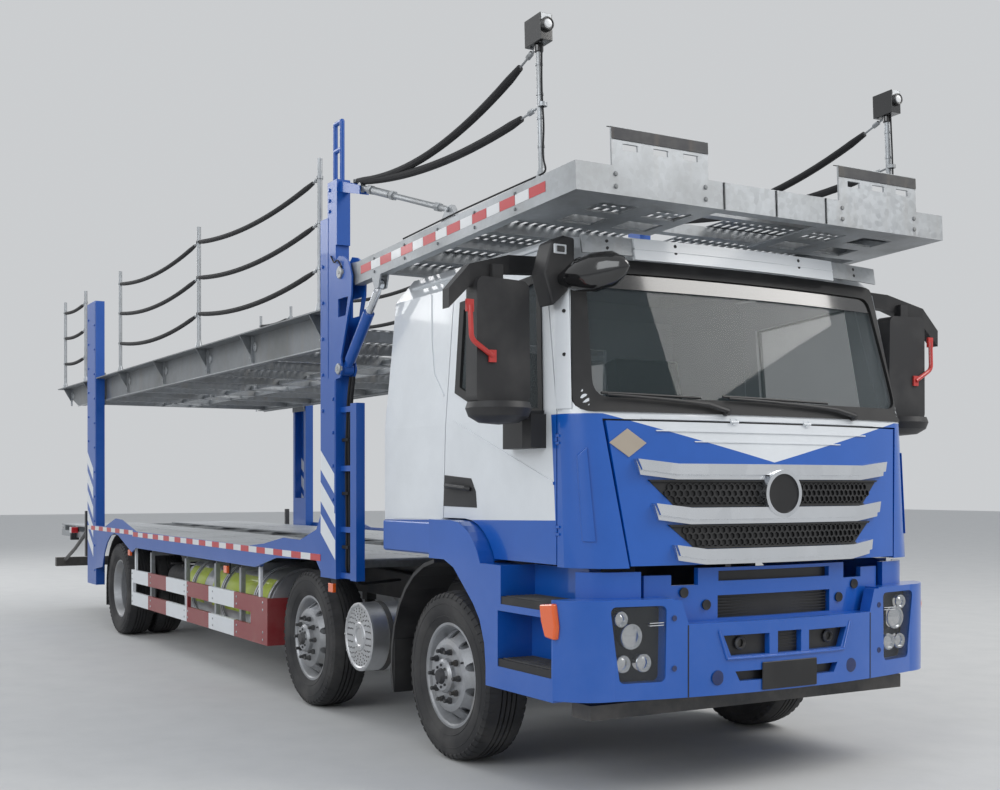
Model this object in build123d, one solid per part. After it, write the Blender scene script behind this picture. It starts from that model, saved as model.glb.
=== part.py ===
from build123d import *
import os
from functools import cache
from math import cos, hypot, radians, sin

# Car transporter truck, rigid, three axles, with a deck over the cab and a lifting deck behind.
# Millimetres. X points forward, Y to the truck's left, Z up.
# The origin lies on the ground under the middle of the truck's length and width.

# Overall. The front axle is the datum along X.
LENGTH = 12000
WIDTH = 2550
FRONT_AXLE_X = 4500
FRONT_OVERHANG = 1500
FRONT_X = FRONT_AXLE_X + FRONT_OVERHANG
REAR_X = FRONT_X - LENGTH
SIDE_Y = WIDTH / 2

# Axles and tyres
SECOND_AXLE_SPACING = 2080
REAR_AXLE_SPACING = 7160
SECOND_AXLE_X = FRONT_AXLE_X - SECOND_AXLE_SPACING
REAR_AXLE_X = FRONT_AXLE_X - REAR_AXLE_SPACING
TYRE_RADIUS = 478
TYRE_WIDTH = 275
RIM_SEAT_RADIUS = 286
RIM_FLANGE_RADIUS = 298
RIM_WIDTH = 216
STEER_WHEEL_Y = 1055
DUAL_OUTER_Y = 1106
DUAL_SPACING = 313
KINGPIN_Y = 925
KINGPIN_RADIUS = 22
SPINDLE_RADIUS = 45
RUNNING_PLAY = 0.05
DRUM_RADIUS = 208
DRUM_WALL = 14

# Ladder frame
FRAME_WIDTH = 860
FRAME_TOP = 1000
FRAME_HEIGHT = 280
FRAME_FLANGE = 80
FRAME_WALL = 9
FRAME_FRONT_X = 5350
FRAME_REAR_X = REAR_X + 200

# Cab
CAB_WALL = 35
CAB_FLOOR_Z = 1150
CAB_FLOOR_THICK = 60
WAIST_Z = 1900
HEADER_Z = 2690
ROOF_Z = 2828
PANEL_GAP = 9
GLASS_INSET = 12
GLASS_THICK = 6

# Posts that carry the upper decks
POST_DEPTH = 95
FRONT_POST_X = (2875, 3131)
FRONT_POST_NECK_X = (2996, 3150)
FRONT_POST_NECK_Z = 3324
FRONT_POST_Z = (940, 3552)
REAR_POST_X = (-3890, -3490)
REAR_POST_Z = (460, 3580)
POST_INNER_Y = SIDE_Y - POST_DEPTH

# Upper deck behind the cab
DECK_X = (REAR_X + 540, 3078)
DECK_TOP_Z = 2735
DECK_DEPTH = 230
DECK_WEB_Y = 1150
DECK_WEB_WALL = 12
DECK_LIP_THICK = 10
DECK_POST_CLEARANCE = 8
SHOE_PLAY = 0.3
RAILING_TOP_Z = 3770
RAILING_POLE_RADIUS = 17
RAILING_POLE_X = (DECK_X[0] + 270, -4120, -2560, 100, 2780)

# Deck over the cab, modelled level and then tipped nose up about its rear top edge
CAB_DECK_REAR = (3370, 2971)
CAB_DECK_LENGTH = 2530
CAB_DECK_DEPTH = 140
CAB_DECK_TILT = 2.5
CAB_DECK_Y = 1250
CAB_DECK_WALL = 10
CAB_DECK_END = 60
HINGE = (3208, 2933)
HINGE_PIN_RADIUS = 30
LIFT_FOOT = (3185, 2310)
LIFT_EYE = (3700, 2796)
LIFT_PIN_RADIUS = 25
LIFT_EYE_PIN_RADIUS = 14
LIFT_EYE_BORE_RADIUS = 20
LIFT_BARREL_RADIUS = 36
LIFT_BARREL_LENGTH = 480
LIFT_ROD_RADIUS = 24
CHEEK_THICK = 12
CHEEK_GAP_Y = (POST_INNER_Y, SIDE_Y - CHEEK_THICK)
LIFT_Y = (CHEEK_GAP_Y[0] + CHEEK_GAP_Y[1]) / 2
SWING_CLEARANCE = 8

# Lower deck
RAIL_WALL = 60
LOWER_FLOOR_Z = 1062
LOWER_FLOOR_THICK = 12


def block(x, y, z):
    """A box between two values on each axis."""
    middle = Pos((x[0] + x[1]) / 2, (y[0] + y[1]) / 2, (z[0] + z[1]) / 2)
    return middle * Box(x[1] - x[0], y[1] - y[0], z[1] - z[0])


def side_plate(outline, y):
    """A plate whose outline is given in X and Z, between two values of Y."""
    face = Plane.XZ.offset(-y[0]) * Polygon(*outline, align=None)
    return extrude(face, amount=y[1] - y[0], dir=(0, 1, 0))


def cross_plate(outline, x):
    """A plate whose outline is given in Y and Z, between two values of X."""
    face = Plane.YZ.offset(x[0]) * Polygon(*outline, align=None)
    return extrude(face, amount=x[1] - x[0], dir=(1, 0, 0))


def bar(start, end, radius):
    """A round bar from one point to another."""
    along = Vector(*end) - Vector(*start)
    foot = Align.CENTER, Align.CENTER, Align.MIN
    return Plane(origin=start, z_dir=along) * Cylinder(radius, along.length, align=foot)


def pin(x, z, radius, y):
    """A round bar across the truck at X and Z."""
    return bar((x, y[0], z), (x, y[1], z), radius)


def both(shape):
    """A piece of the left side together with its mirror image on the right."""
    return shape + mirror(shape, about=Plane.XZ)


def right(shape):
    """The mirror image on the right of a piece of the left side."""
    return mirror(shape, about=Plane.XZ)


def turned(profile, x, y, z):
    """A left wheel piece: a profile of (outward, radius) points turned about its axle."""
    plane = Plane(origin=(x, y, z), x_dir=(0, 1, 0), z_dir=(1, 0, 0))
    return revolve(plane * Polygon(*profile, align=None), axis=Axis((x, y, z), (0, 1, 0)))


def arc_points(x, z, radius, first, last, count):
    """Points along an arc, by angles in degrees from the X axis."""
    step = (last - first) / (count - 1)
    angles = [radians(first + step * i) for i in range(count)]
    return [(x + radius * cos(a), z + radius * sin(a)) for a in angles]


def spaced(first, last, count):
    """Evenly spaced places from one value to another."""
    return [first + (last - first) * i / (count - 1) for i in range(count)]


def pair(shape):
    """A piece of the left side and its mirror image, as two solids."""
    return [shape, right(shape)]


def save(name, *shapes):
    """One node from one or more shapes, whose solids stay apart."""
    solids = [solid for shape in shapes for solid in shape.solids()]
    export_step(solids[0] if len(solids) == 1 else Compound(children=solids), f"parts/{name}.step")


# Wheels


def tyre(x, y):
    half = TYRE_WIDTH / 2
    bead = RIM_WIDTH / 2 - 8
    wall = [(bead, RIM_SEAT_RADIUS), (half, 372), (half - 4, 430), (half - 18, 465), (half - 75, TYRE_RADIUS)]
    profile = wall + [(-u, v) for u, v in reversed(wall)]
    return turned(profile, x, y, TYRE_RADIUS)


def barrel(x, y):
    edge = RIM_WIDTH / 2
    outer = [(-edge, RIM_FLANGE_RADIUS), (-edge + 8, RIM_SEAT_RADIUS), (-40, 262), (40, 262)]
    outer += [(edge - 8, RIM_SEAT_RADIUS), (edge, RIM_FLANGE_RADIUS)]
    inner = [(edge, 284), (edge - 10, 276), (40, 250), (-40, 250), (-edge + 10, 276), (-edge, 284)]
    return turned(outer + inner, x, y, TYRE_RADIUS)


HAND_HOLES = 10
HAND_HOLE_RADIUS = 25


def hand_holes(x, y, ring, reach):
    """The round holes in a wheel disc, on a ring about the axle, between two values of Y."""
    holes = None
    for i in range(HAND_HOLES):
        a = radians(360 * (i + 0.5) / HAND_HOLES)
        hole = pin(x + ring * cos(a), TYRE_RADIUS + ring * sin(a), HAND_HOLE_RADIUS, (y + reach[0], y + reach[1]))
        holes = hole if holes is None else holes + hole
    return holes


def steer_rim(x):
    """A front wheel's rim: its disc bulges outward, with the brake drum and hub behind it."""
    hub = SPINDLE_RADIUS + RUNNING_PLAY
    disc = [(20, 256), (108, 198), (116, 170), (116, hub + 20), (-50, hub + 20), (-50, hub)]
    disc += [(130, hub), (130, 0), (166, 0), (166, 82), (150, 96), (128, 100), (128, 175), (120, 203), (30, 262)]
    drum = [(-60, DRUM_RADIUS), (108, DRUM_RADIUS), (108, DRUM_RADIUS - DRUM_WALL), (-60, DRUM_RADIUS - DRUM_WALL)]
    y = STEER_WHEEL_Y
    wheel = turned(disc, x, y, TYRE_RADIUS) - hand_holes(x, y, 229, (20, 130))
    return barrel(x, y) + wheel + turned(drum, x, y, TYRE_RADIUS)


def dual_rim(x):
    """A rear hub with two rims bolted face to face and the brake drum inside the inner one."""
    outer, inner = DUAL_OUTER_Y, DUAL_OUTER_Y - DUAL_SPACING
    face = (outer + inner) / 2
    bore = AXLE_TUBE_RADIUS + RUNNING_PLAY
    out_disc = [(0, 150), (0, 235), (100, 256), (112, 256), (12, 224), (12, 150)]
    in_disc = [(-u, v) for u, v in out_disc]
    hub = [(-40, bore), (-40, 150), (14, 150), (14, 120), (60, 110), (80, 90), (80, 0), (66, 0), (66, bore)]
    drum = [(-215, DRUM_RADIUS), (-12, DRUM_RADIUS), (-12, DRUM_RADIUS - DRUM_WALL), (-215, DRUM_RADIUS - DRUM_WALL)]
    wheel = barrel(x, outer) + barrel(x, inner)
    wheel += turned(out_disc, x, face, TYRE_RADIUS) - hand_holes(x, face, 195, (-1, 30))
    wheel += turned(in_disc, x, face, TYRE_RADIUS)
    return wheel + turned(hub, x, face, TYRE_RADIUS) + turned(drum, x, face, TYRE_RADIUS)


AXLE_TUBE_RADIUS = 60
KNUCKLE_EAR_Z = (36, 78)
KNUCKLE_EAR_RADIUS = 50
BEAM_EYE_HALF = KNUCKLE_EAR_Z[0] - 0.3


def knuckle(x):
    """A steering knuckle: two ears on the kingpin, a brake plate and the spindle."""
    z = TYRE_RADIUS
    low, high = KNUCKLE_EAR_Z
    wheel_in = STEER_WHEEL_Y - 60
    body = Pos(x, KINGPIN_Y, z) * Cylinder(KINGPIN_RADIUS, 2 * high)
    for side in (-1, 1):
        body += Pos(x, KINGPIN_Y, z + side * (low + high) / 2) * Cylinder(KNUCKLE_EAR_RADIUS, high - low)
        body += block((x - 45, x + 45), (KINGPIN_Y, wheel_in - 8), sorted((z + side * low, z + side * high)))
    body += block((x - 60, x + 60), (wheel_in - 22, wheel_in - 8), (z - high, z + high))
    body += pin(x, z, DRUM_RADIUS - DRUM_WALL - 12, (wheel_in - 8, wheel_in - 2))
    body += pin(x, z, SPINDLE_RADIUS, (wheel_in - 8, STEER_WHEEL_Y + 120))
    body += block((x - 260, x - 40), (KINGPIN_Y - 25, KINGPIN_Y + 15), (z - high, z - low - 12))
    return body


SPRING_Y = (FRAME_WIDTH / 2 - 85, FRAME_WIDTH / 2 - 5)


def steer_beam(x):
    """A forged front axle beam, dropped between its kingpin eyes."""
    z = TYRE_RADIUS
    end, neck = KINGPIN_Y - 20, KINGPIN_Y - KNUCKLE_EAR_RADIUS - 12
    half = [(0, 400), (600, 400), (790, z + 24), (end, z + 30)]
    half += [(end, z - 30), (neck, z - 30), (780, z - 56), (640, 310), (0, 310)]
    beam = both(cross_plate(half, (x - 42, x + 42)))
    for y in (-KINGPIN_Y, KINGPIN_Y):
        beam += Pos(x, y, z) * Cylinder(46, 2 * BEAM_EYE_HALF)
        beam -= Pos(x, y, z) * Cylinder(KINGPIN_RADIUS + RUNNING_PLAY, 4 * BEAM_EYE_HALF)
    return beam


def drive_axle(x):
    """The rear axle housing with its round differential and propeller shaft flange."""
    z = TYRE_RADIUS
    face = DUAL_OUTER_Y - DUAL_SPACING / 2
    housing = pin(x, z, 75, (-640, 640)) + pin(x, z, AXLE_TUBE_RADIUS, (-face - 50, face + 50))
    housing += bar((x - 190, 0, z), (x + 170, 0, z), 215)
    housing += bar((x + 170, 0, z), (x + 420, 0, z + 30), 90)
    for y in (-670, 670):
        housing += pin(x, z, DRUM_RADIUS - DRUM_WALL - 12, (y - 4, y + 4))
    return housing


def spring(x, seat_z, end_z, half, thick):
    """A leaf spring pack on its axle, bent up to its two hangers."""
    quarter = (seat_z + end_z) / 2 - 25
    low = [(x - half, end_z - 12), (x - half / 2, quarter), (x - 70, seat_z), (x + 70, seat_z)]
    low += [(x + half / 2, quarter), (x + half, end_z - 12)]
    high = [(x + half, end_z + 12), (x + half / 2, quarter + thick * 0.6), (x + 70, seat_z + thick)]
    high += [(x - 70, seat_z + thick), (x - half / 2, quarter + thick * 0.6), (x - half, end_z + 12)]
    return side_plate(low + high, SPRING_Y)


# axle x, spring seat height, end height, half length, thickness
SPRINGS = [
    (FRONT_AXLE_X, 400, 650, 780, 60),
    (SECOND_AXLE_X, 400, 650, 700, 60),
    (REAR_AXLE_X, TYRE_RADIUS + 75, 650, 800, 80),
]
CROSS_MEMBER_X = [5250, 3560, 1400, 0, -1700, *spaced(-3600, FRAME_REAR_X + 60, 3)]


def frame():
    """Two channels joined by cross members, with spring hangers and cab mounts."""
    outer, bottom = FRAME_WIDTH / 2, FRAME_TOP - FRAME_HEIGHT
    whole = block((FRAME_REAR_X, FRAME_FRONT_X), (outer - FRAME_FLANGE, outer), (bottom, FRAME_TOP))
    inner = outer - FRAME_WALL
    whole -= block(
        (FRAME_REAR_X - 1, FRAME_FRONT_X + 1),
        (outer - FRAME_FLANGE - 1, inner),
        (bottom + FRAME_WALL, FRAME_TOP - FRAME_WALL),
    )
    for x, seat_z, end_z, half, thick in SPRINGS:
        for end in (x - half, x + half):
            whole += block((end - 45, end + 45), SPRING_Y, (end_z + 12, bottom))
    for x in (3760, 5200):
        whole += block((x - 60, x + 60), (outer - FRAME_FLANGE, outer), (FRAME_TOP, CAB_FLOOR_Z))
    cross = [block((x - 40, x + 40), (-inner, inner), (bottom + 60, FRAME_TOP - 30)) for x in CROSS_MEMBER_X]
    return pair(whole) + cross


def engine():
    """The engine and gearbox as one plain block, hung between the frame rails on four feet."""
    side = FRAME_WIDTH / 2 - FRAME_FLANGE - 10
    mass = block((3640, 5100), (-side, side), (560, FRAME_TOP + 100))
    foot = FRAME_WIDTH / 2 - FRAME_WALL
    foot_z = FRAME_TOP - FRAME_HEIGHT / 2
    for x in (3900, 4900):
        mass += block((x - 50, x + 50), (-foot, foot), (foot_z - 60, foot_z))
    return mass


# Cab


def plan(z, section, inset):
    """A closed plan outline: flat back and sides, round front corners and a bowed nose."""
    back, half, shoulder, corner_x, corner_y, nose = section
    back, half, nose = back + inset, half - inset, nose - inset
    shoulder, corner_x, corner_y = shoulder - inset * 0.4, corner_x - inset, corner_y - inset * 0.4
    bulge = 0.16
    edge_x = (shoulder + corner_x) / 2 + bulge * (half - corner_y)
    edge_y = (half + corner_y) / 2 + bulge * (corner_x - shoulder)
    lines = [
        Line((back, -half), (back, half)),
        Line((back, half), (shoulder, half)),
        ThreePointArc((shoulder, half), (edge_x, edge_y), (corner_x, corner_y)),
        ThreePointArc((corner_x, corner_y), (nose, 0), (corner_x, -corner_y)),
        ThreePointArc((corner_x, -corner_y), (edge_x, -edge_y), (shoulder, -half)),
        Line((shoulder, -half), (back, -half)),
    ]
    return Plane.XY.offset(z) * make_face(Wire(lines))


# back x, half width, shoulder x, corner x, corner y, nose x
CAB_SECTIONS = {
    CAB_FLOOR_Z: (3615, 1150, 5650, 5850, 950, 5950),
    WAIST_Z: (3615, 1150, 5610, 5770, 1010, 5860),
    HEADER_Z: (3650, 1090, 5470, 5560, 1010, 5640),
    ROOF_Z: (3720, 1000, 5340, 5430, 930, 5500),
}
ROOF_DROP = 40


@cache
def cab_solid(inset, floor=0):
    """The cab's outer form, or a smaller one inside it."""
    shape = None
    heights = list(CAB_SECTIONS)
    for low, high in zip(heights, heights[1:]):
        z_low = low + floor if low == CAB_FLOOR_Z else low
        z_high = high - inset if high == ROOF_Z else high
        lower = plan(z_low, CAB_SECTIONS[low], inset)
        upper = plan(z_high, CAB_SECTIONS[high], inset)
        piece = loft([lower, upper], ruled=True)
        shape = piece if shape is None else shape + piece
    return shape


@cache
def cab_skin(outside, inside, floor=0):
    """A layer of the cab's wall between two depths under its surface, with a floor or without."""
    return cab_solid(outside) - cab_solid(inside, floor)


DOOR_REAR_X = 4385
DOOR_Z = (1160, 2740)
DOOR = [(DOOR_REAR_X, 1080), (4425, 1930), (4421, DOOR_Z[1]), (5370, DOOR_Z[1]), (5580, 1910), (5580, 1080)]
WINDOW = [(4555, 2096), (4830, 1992), (5430, 1928), (5330, 2605), (4544, 2556)]
DOOR_HINGE = (5583, 1151)
DOOR_HINGE_Z = (1330, 1780)
DOOR_PIN_RADIUS = 5
DOOR_EYE_RADIUS = 7


def door_prism(gap):
    """The space of the left door, grown by a gap."""
    face = Plane.XZ.offset(-1000) * Polygon(*DOOR, align=None)
    if gap:
        face = offset(face, gap, kind=Kind.INTERSECTION)
    return extrude(face, amount=200, dir=(0, 1, 0))


def door_knuckle(radius, half):
    """Two short upright rounds on the left door's hinge line."""
    x, y = DOOR_HINGE
    low, high = (Pos(x, y, z) * Cylinder(radius, 2 * half) for z in DOOR_HINGE_Z)
    return low + high


def door_lugs():
    """The cab's lugs and pins that the left door hangs on."""
    x, y = DOOR_HINGE
    lugs = door_knuckle(DOOR_EYE_RADIUS, 24)
    for z in DOOR_HINGE_Z:
        lugs += block((x, x + 30), (y - 1, y + 6), (z - 24, z + 24))
    return lugs - door_knuckle(40, 12) + door_knuckle(DOOR_PIN_RADIUS, 24)


def door_eyes():
    """The left door's eyes between those lugs, on short leaves."""
    x, y = DOOR_HINGE
    eyes = door_knuckle(DOOR_EYE_RADIUS, 10)
    for z in DOOR_HINGE_Z:
        eyes += block((x - 30, x), (y - 1, y + 6), (z - 10, z + 10))
    return eyes


# The fender rises over the wheel and cuts the door's lower rear corner
FLARE_TOP_Z = 1360
FLARE_ARC = (4650, 1010, 350)


def flare_cover(grow):
    """The space of the fender's flare in the door's plane, grown by a gap."""
    x, z, radius = FLARE_ARC
    back = DOOR_REAR_X - 100
    outline = [(back, DOOR_Z[0] - 70), (back, FLARE_TOP_Z + grow)]
    outline += arc_points(x, z, radius + grow, 90, 20, 7)
    outline += [(outline[-1][0], DOOR_Z[0] - 70)]
    return side_plate(outline, (1000, 1200))


def window_prism():
    """The left door's window."""
    return side_plate(WINDOW, (1000, 1200))


SCREEN = [(-1060, 1945), (1060, 1945), (1005, 2660), (-1005, 2660)]
# low half width, low z, high half width, high z
FLAP = (890, 1160, 990, 1870)
FLAP_CORNER_ROOM = 10
# The front skin lies ahead of this plane, the floor and the dashboard behind it
NOSE_BACK_X = 5690
REAR_PANEL_X = CAB_SECTIONS[HEADER_Z][0] + CAB_WALL + 5
BACK_WINDOW = [(-500, 2060), (500, 2060), (500, 2480), (-500, 2480)]


def flap_outline(gap, corner_room):
    """The service panel's outline, grown by a gap, with more room beside its upper corners."""
    low, low_z, high, high_z = FLAP
    low, high = low + gap, high + gap + corner_room
    return [(-low, low_z - gap - 60), (low, low_z - gap - 60), (high, high_z + gap), (-high, high_z + gap)]


FLAP_HINGE = (5864, 1876)
FLAP_HINGE_Y = 250
FLAP_PIN_RADIUS = 5
FLAP_EYE_RADIUS = 7


def flap_lugs():
    """The left pair of lugs on the cab, with the pin that the front flap hangs on."""
    (x, z), y = FLAP_HINGE, FLAP_HINGE_Y
    lugs = pin(x, z, FLAP_PIN_RADIUS, (y - 24, y + 24))
    for low in (y - 24, y + 12):
        lugs += pin(x, z, FLAP_EYE_RADIUS, (low, low + 12))
        lugs += block((x - 22, x + 1), (low, low + 12), (z + 3.5, z + 16))
    return lugs


def flap_eye():
    """The flap's eye between those lugs, on a short leaf."""
    (x, z), y = FLAP_HINGE, FLAP_HINGE_Y
    eye = block((x - 14, x + 2), (y - 10, y + 10), (z - 16, z - 2)) + pin(x, z, FLAP_EYE_RADIUS, (y - 10, y + 10))
    return eye - pin(x, z, FLAP_PIN_RADIUS + RUNNING_PLAY, (y - 11, y + 11))


def cab():
    """The welded cab: floor, roof, back wall, two side panels and the front, face to face."""
    shell = cab_skin(0, CAB_WALL, CAB_FLOOR_THICK)
    gap = PANEL_GAP
    shell -= both(door_prism(gap) - flare_cover(0))
    shell -= cross_plate(SCREEN, (5300, 6000))
    shell -= cross_plate(flap_outline(gap, FLAP_CORNER_ROOM), (NOSE_BACK_X, 6000))
    shell -= cross_plate(BACK_WINDOW, (3500, 3750))
    shell -= both(door_knuckle(DOOR_EYE_RADIUS + 3, 30))
    shell += both(flap_lugs() + door_lugs())
    floor_top, header = CAB_FLOOR_Z + CAB_FLOOR_THICK, HEADER_Z
    side_front = DOOR[2][0] - gap
    wide, high = (-WIDTH, WIDTH), (floor_top, header)
    zones = [
        ((3000, 6200), wide, (CAB_FLOOR_Z - 1, floor_top)),
        ((3000, 6200), wide, (header, ROOF_Z + 1)),
        ((3000, REAR_PANEL_X), wide, high),
        ((REAR_PANEL_X, side_front), (0, WIDTH), high),
        ((REAR_PANEL_X, side_front), (-WIDTH, 0), high),
        ((side_front, 6200), wide, high),
    ]
    return [shell & block(*zone) for zone in zones]


def door():
    below = block((4000, 6000), (900, 1200), (0, DOOR_Z[0]))
    skin = cab_skin(0, CAB_WALL) & (door_prism(0) - flare_cover(PANEL_GAP))
    skin = skin - window_prism() - below - door_knuckle(DOOR_EYE_RADIUS + 3, 30)
    return skin + door_eyes() - door_knuckle(DOOR_PIN_RADIUS + RUNNING_PLAY, 30)


def door_glass():
    return cab_skin(GLASS_INSET, GLASS_INSET + GLASS_THICK) & window_prism()


def cab_glass():
    layer = cab_skin(GLASS_INSET, GLASS_INSET + GLASS_THICK)
    return [layer & cross_plate(SCREEN, (5300, 6000)), layer & cross_plate(BACK_WINDOW, (3500, 3750))]


def flap():
    """The front service panel, hinged along its top edge."""
    skin = cab_skin(0, CAB_WALL) & cross_plate(flap_outline(0, 0), (NOSE_BACK_X, 6000))
    skin -= block((NOSE_BACK_X - 1, 6000), (-1000, 1000), (1000, FLAP[1]))
    return skin + both(flap_eye())


# low z, high z, half length of the straight part, half length at the wing's foot and top
BARS = [(1583, 1661, 630, 835, 855), (1361, 1443, 570, 750, 770), (1161, 1238, 500, 655, 670)]
WING_RISE = 23
BAR_LIFT = 40
BAR_LIP = (24, 20)
# low z, high z, half width at the bottom, half width at the top
MESH_BANDS = [(1445, 1581, 640, 785), (1240, 1359, 545, 690)]
MESH_LIFT = 14
CELL = 76
CELL_WEB = 12

# the round in the middle of the nose
RING_FACE_X = 5960
RING_Z = 1511
RING_RADIUS = 122
RING_BAND = 20


@cache
def nose_layer(lift):
    """A layer in front of the cab's nose, as thick as its lift."""
    ahead = block((NOSE_BACK_X, 6100), (-1000, 1000), (CAB_FLOOR_Z, WAIST_Z))
    return (cab_solid(-lift) & ahead) - cab_solid(0)


def bar_outline(row, lip):
    """A trim bar seen from the front, with its raised wings; a lip leaves its lower edge out."""
    low, high, straight, foot, top = row
    low += lip
    half = [(foot, low + WING_RISE), (top, high + WING_RISE), (straight, high)]
    return [(straight, low), *half, *[(-y, z) for y, z in reversed(half)], (-straight, low)]


def nose_round(radius, depth):
    """A round bar through the ring's place, back to the cab's skin."""
    return bar((RING_FACE_X - 90, 0, RING_Z), (RING_FACE_X - depth, 0, RING_Z), radius)


def trim_bars():
    """Three bright bars with winged ends, each proud above a lower lip, and the round ring in the middle."""
    bars = []
    for row in BARS:
        piece = nose_layer(BAR_LIP[1]) & cross_plate(bar_outline(row, 0), (5500, 6100))
        piece += nose_layer(BAR_LIFT) & cross_plate(bar_outline(row, BAR_LIP[0]), (5500, 6100))
        bars.append(piece - nose_round(RING_RADIUS, -30))
    ring = nose_round(RING_RADIUS - 0.3, 0) - nose_round(RING_RADIUS - RING_BAND, -1)
    return bars + [ring - cab_solid(0)]


def grille():
    """Two dark honeycomb bands between the trim bars, and the plain disc inside the ring."""
    mesh = []
    for low, high, bottom, top in MESH_BANDS:
        outline = [(-bottom, low), (bottom, low), (top, high), (-top, high)]
        band = nose_layer(MESH_LIFT) & cross_plate(outline, (5500, 6100))
        cells = None
        rows = spaced(low + CELL * 0.62, high - CELL * 0.62, 2)
        for row, z in enumerate(rows):
            reach = bottom + (top - bottom) * (z - low) / (high - low) - CELL * 0.7
            count = int(2 * reach / CELL) // 2 * 2 + row % 2
            for i in range(count):
                y = (i - (count - 1) / 2) * CELL
                if abs(y) < RING_RADIUS + CELL / 2 and abs(z - RING_Z) < RING_RADIUS + CELL / 2:
                    continue
                points = [(y + (CELL - CELL_WEB) / 2 / cos(radians(30)) * sin(radians(60 * k)),
                           z + (CELL - CELL_WEB) / 2 / cos(radians(30)) * cos(radians(60 * k))) for k in range(6)]
                cell = cross_plate(points, (5600, 6100))
                cells = [cell] if cells is None else cells + [cell]
        band -= cells + [cross_plate(bar_outline(row, 0), (5500, 6100)) for row in BARS]
        mesh.append(band - nose_round(RING_RADIUS, -30))
    disc = nose_round(RING_RADIUS - RING_BAND - 0.3, 8) - cab_solid(0)
    return mesh + [disc]


def seats():
    pair = None
    for y in (-520, 520):
        one = block((4200, 4730), (y - 250, y + 250), (1500, 1640))
        one += Pos(4200, y, 1600) * Rot(0, -12, 0) * block((-60, 70), (-250, 250), (0, 780))
        one += block((4300, 4630), (y - 180, y + 180), (CAB_FLOOR_Z + CAB_FLOOR_THICK, 1500))
        pair = one if pair is None else pair + one
    return pair


def dashboard():
    foot = CAB_FLOOR_Z + CAB_FLOOR_THICK
    outline = [(5120, foot), (5640, foot), (5640, 1880), (5520, 1905), (5200, 1840), (5090, 1700)]
    return side_plate(outline, (-1040, 1040))


def steering_wheel():
    tilt = Pos(5010, 520, 1830) * Rot(0, -35, 0)
    wheel = tilt * Torus(225, 17) + tilt * Cylinder(55, 36) + tilt * Box(30, 430, 16) + tilt * Box(430, 30, 16)
    return wheel + bar((5015, 520, 1822), (5180, 520, 1590), 30)


# Bumper, lamps and steps

BUMPER_Z = (514, 1000)
BUMPER_SECTION = (FRONT_X - 700, 1250, FRONT_X - 300, FRONT_X - 120, 1010, FRONT_X)
BUMPER_BACK_X = FRONT_X - 310
BUMPER_WALL = 70
CORNER_INNER_Y = 640
LEDGE_Z = (861, 873)
CROSS_PANEL_DEPTH = (90, 120)
LAMP = [(740, 968), (1036, 968), (985, 598), (748, 598)]
LAMP_ROUND = 28
CORNER_PANEL_Y = (830, 1145)
CORNER_SHELF = (190, 12)
PLATE = (165, 529, 655)
# half outlines on the front of the bumper's lower middle part
LOWER_OPENINGS = [
    [(135, 807), (420, 807), (375, 703), (135, 703)],
    [(-80, 813), (80, 813), (80, 702), (-80, 702)],
]
LOWER_SLOT = [(-350, 625), (350, 625), (322, 575), (-322, 575)]
# half outline of the recessed panel above, with its notch, and its two openings
CROSS_PANEL_TOP_Z = 1140
CROSS_PANEL = [
    (0, 861), (800, 861), (800, 1108), (652, 1108), (652, 1056), (500, 1056), (500, CROSS_PANEL_TOP_Z),
    (0, CROSS_PANEL_TOP_Z),
]
CROSS_OPENINGS = [
    [(-380, 1123), (380, 1123), (380, 1072), (-380, 1072)],
    [(-385, 1000), (385, 1000), (385, 885), (-385, 885)],
]


@cache
def bumper_layer(outside, inside, low=BUMPER_Z[0], high=BUMPER_Z[1]):
    """A layer of the bumper's form between two depths under its surface."""
    outer = extrude(plan(low, BUMPER_SECTION, outside), amount=high - low)
    inner = extrude(plan(low - 1, BUMPER_SECTION, inside), amount=high - low + 2)
    behind = block((BUMPER_SECTION[0] - 1, BUMPER_BACK_X), (-WIDTH, WIDTH), (low - 1, high + 1))
    return outer - inner - behind


def front_cut(outline):
    """A plate shape across the front."""
    return cross_plate(outline, (5500, 6100))


@cache
def lamp_prism():
    """The left headlamp's rounded outline, through the bumper."""
    face = Plane.YZ.offset(5500) * Polygon(*LAMP, align=None)
    face = fillet(face.vertices(), LAMP_ROUND)
    return extrude(face, amount=600, dir=(1, 0, 0))


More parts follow.
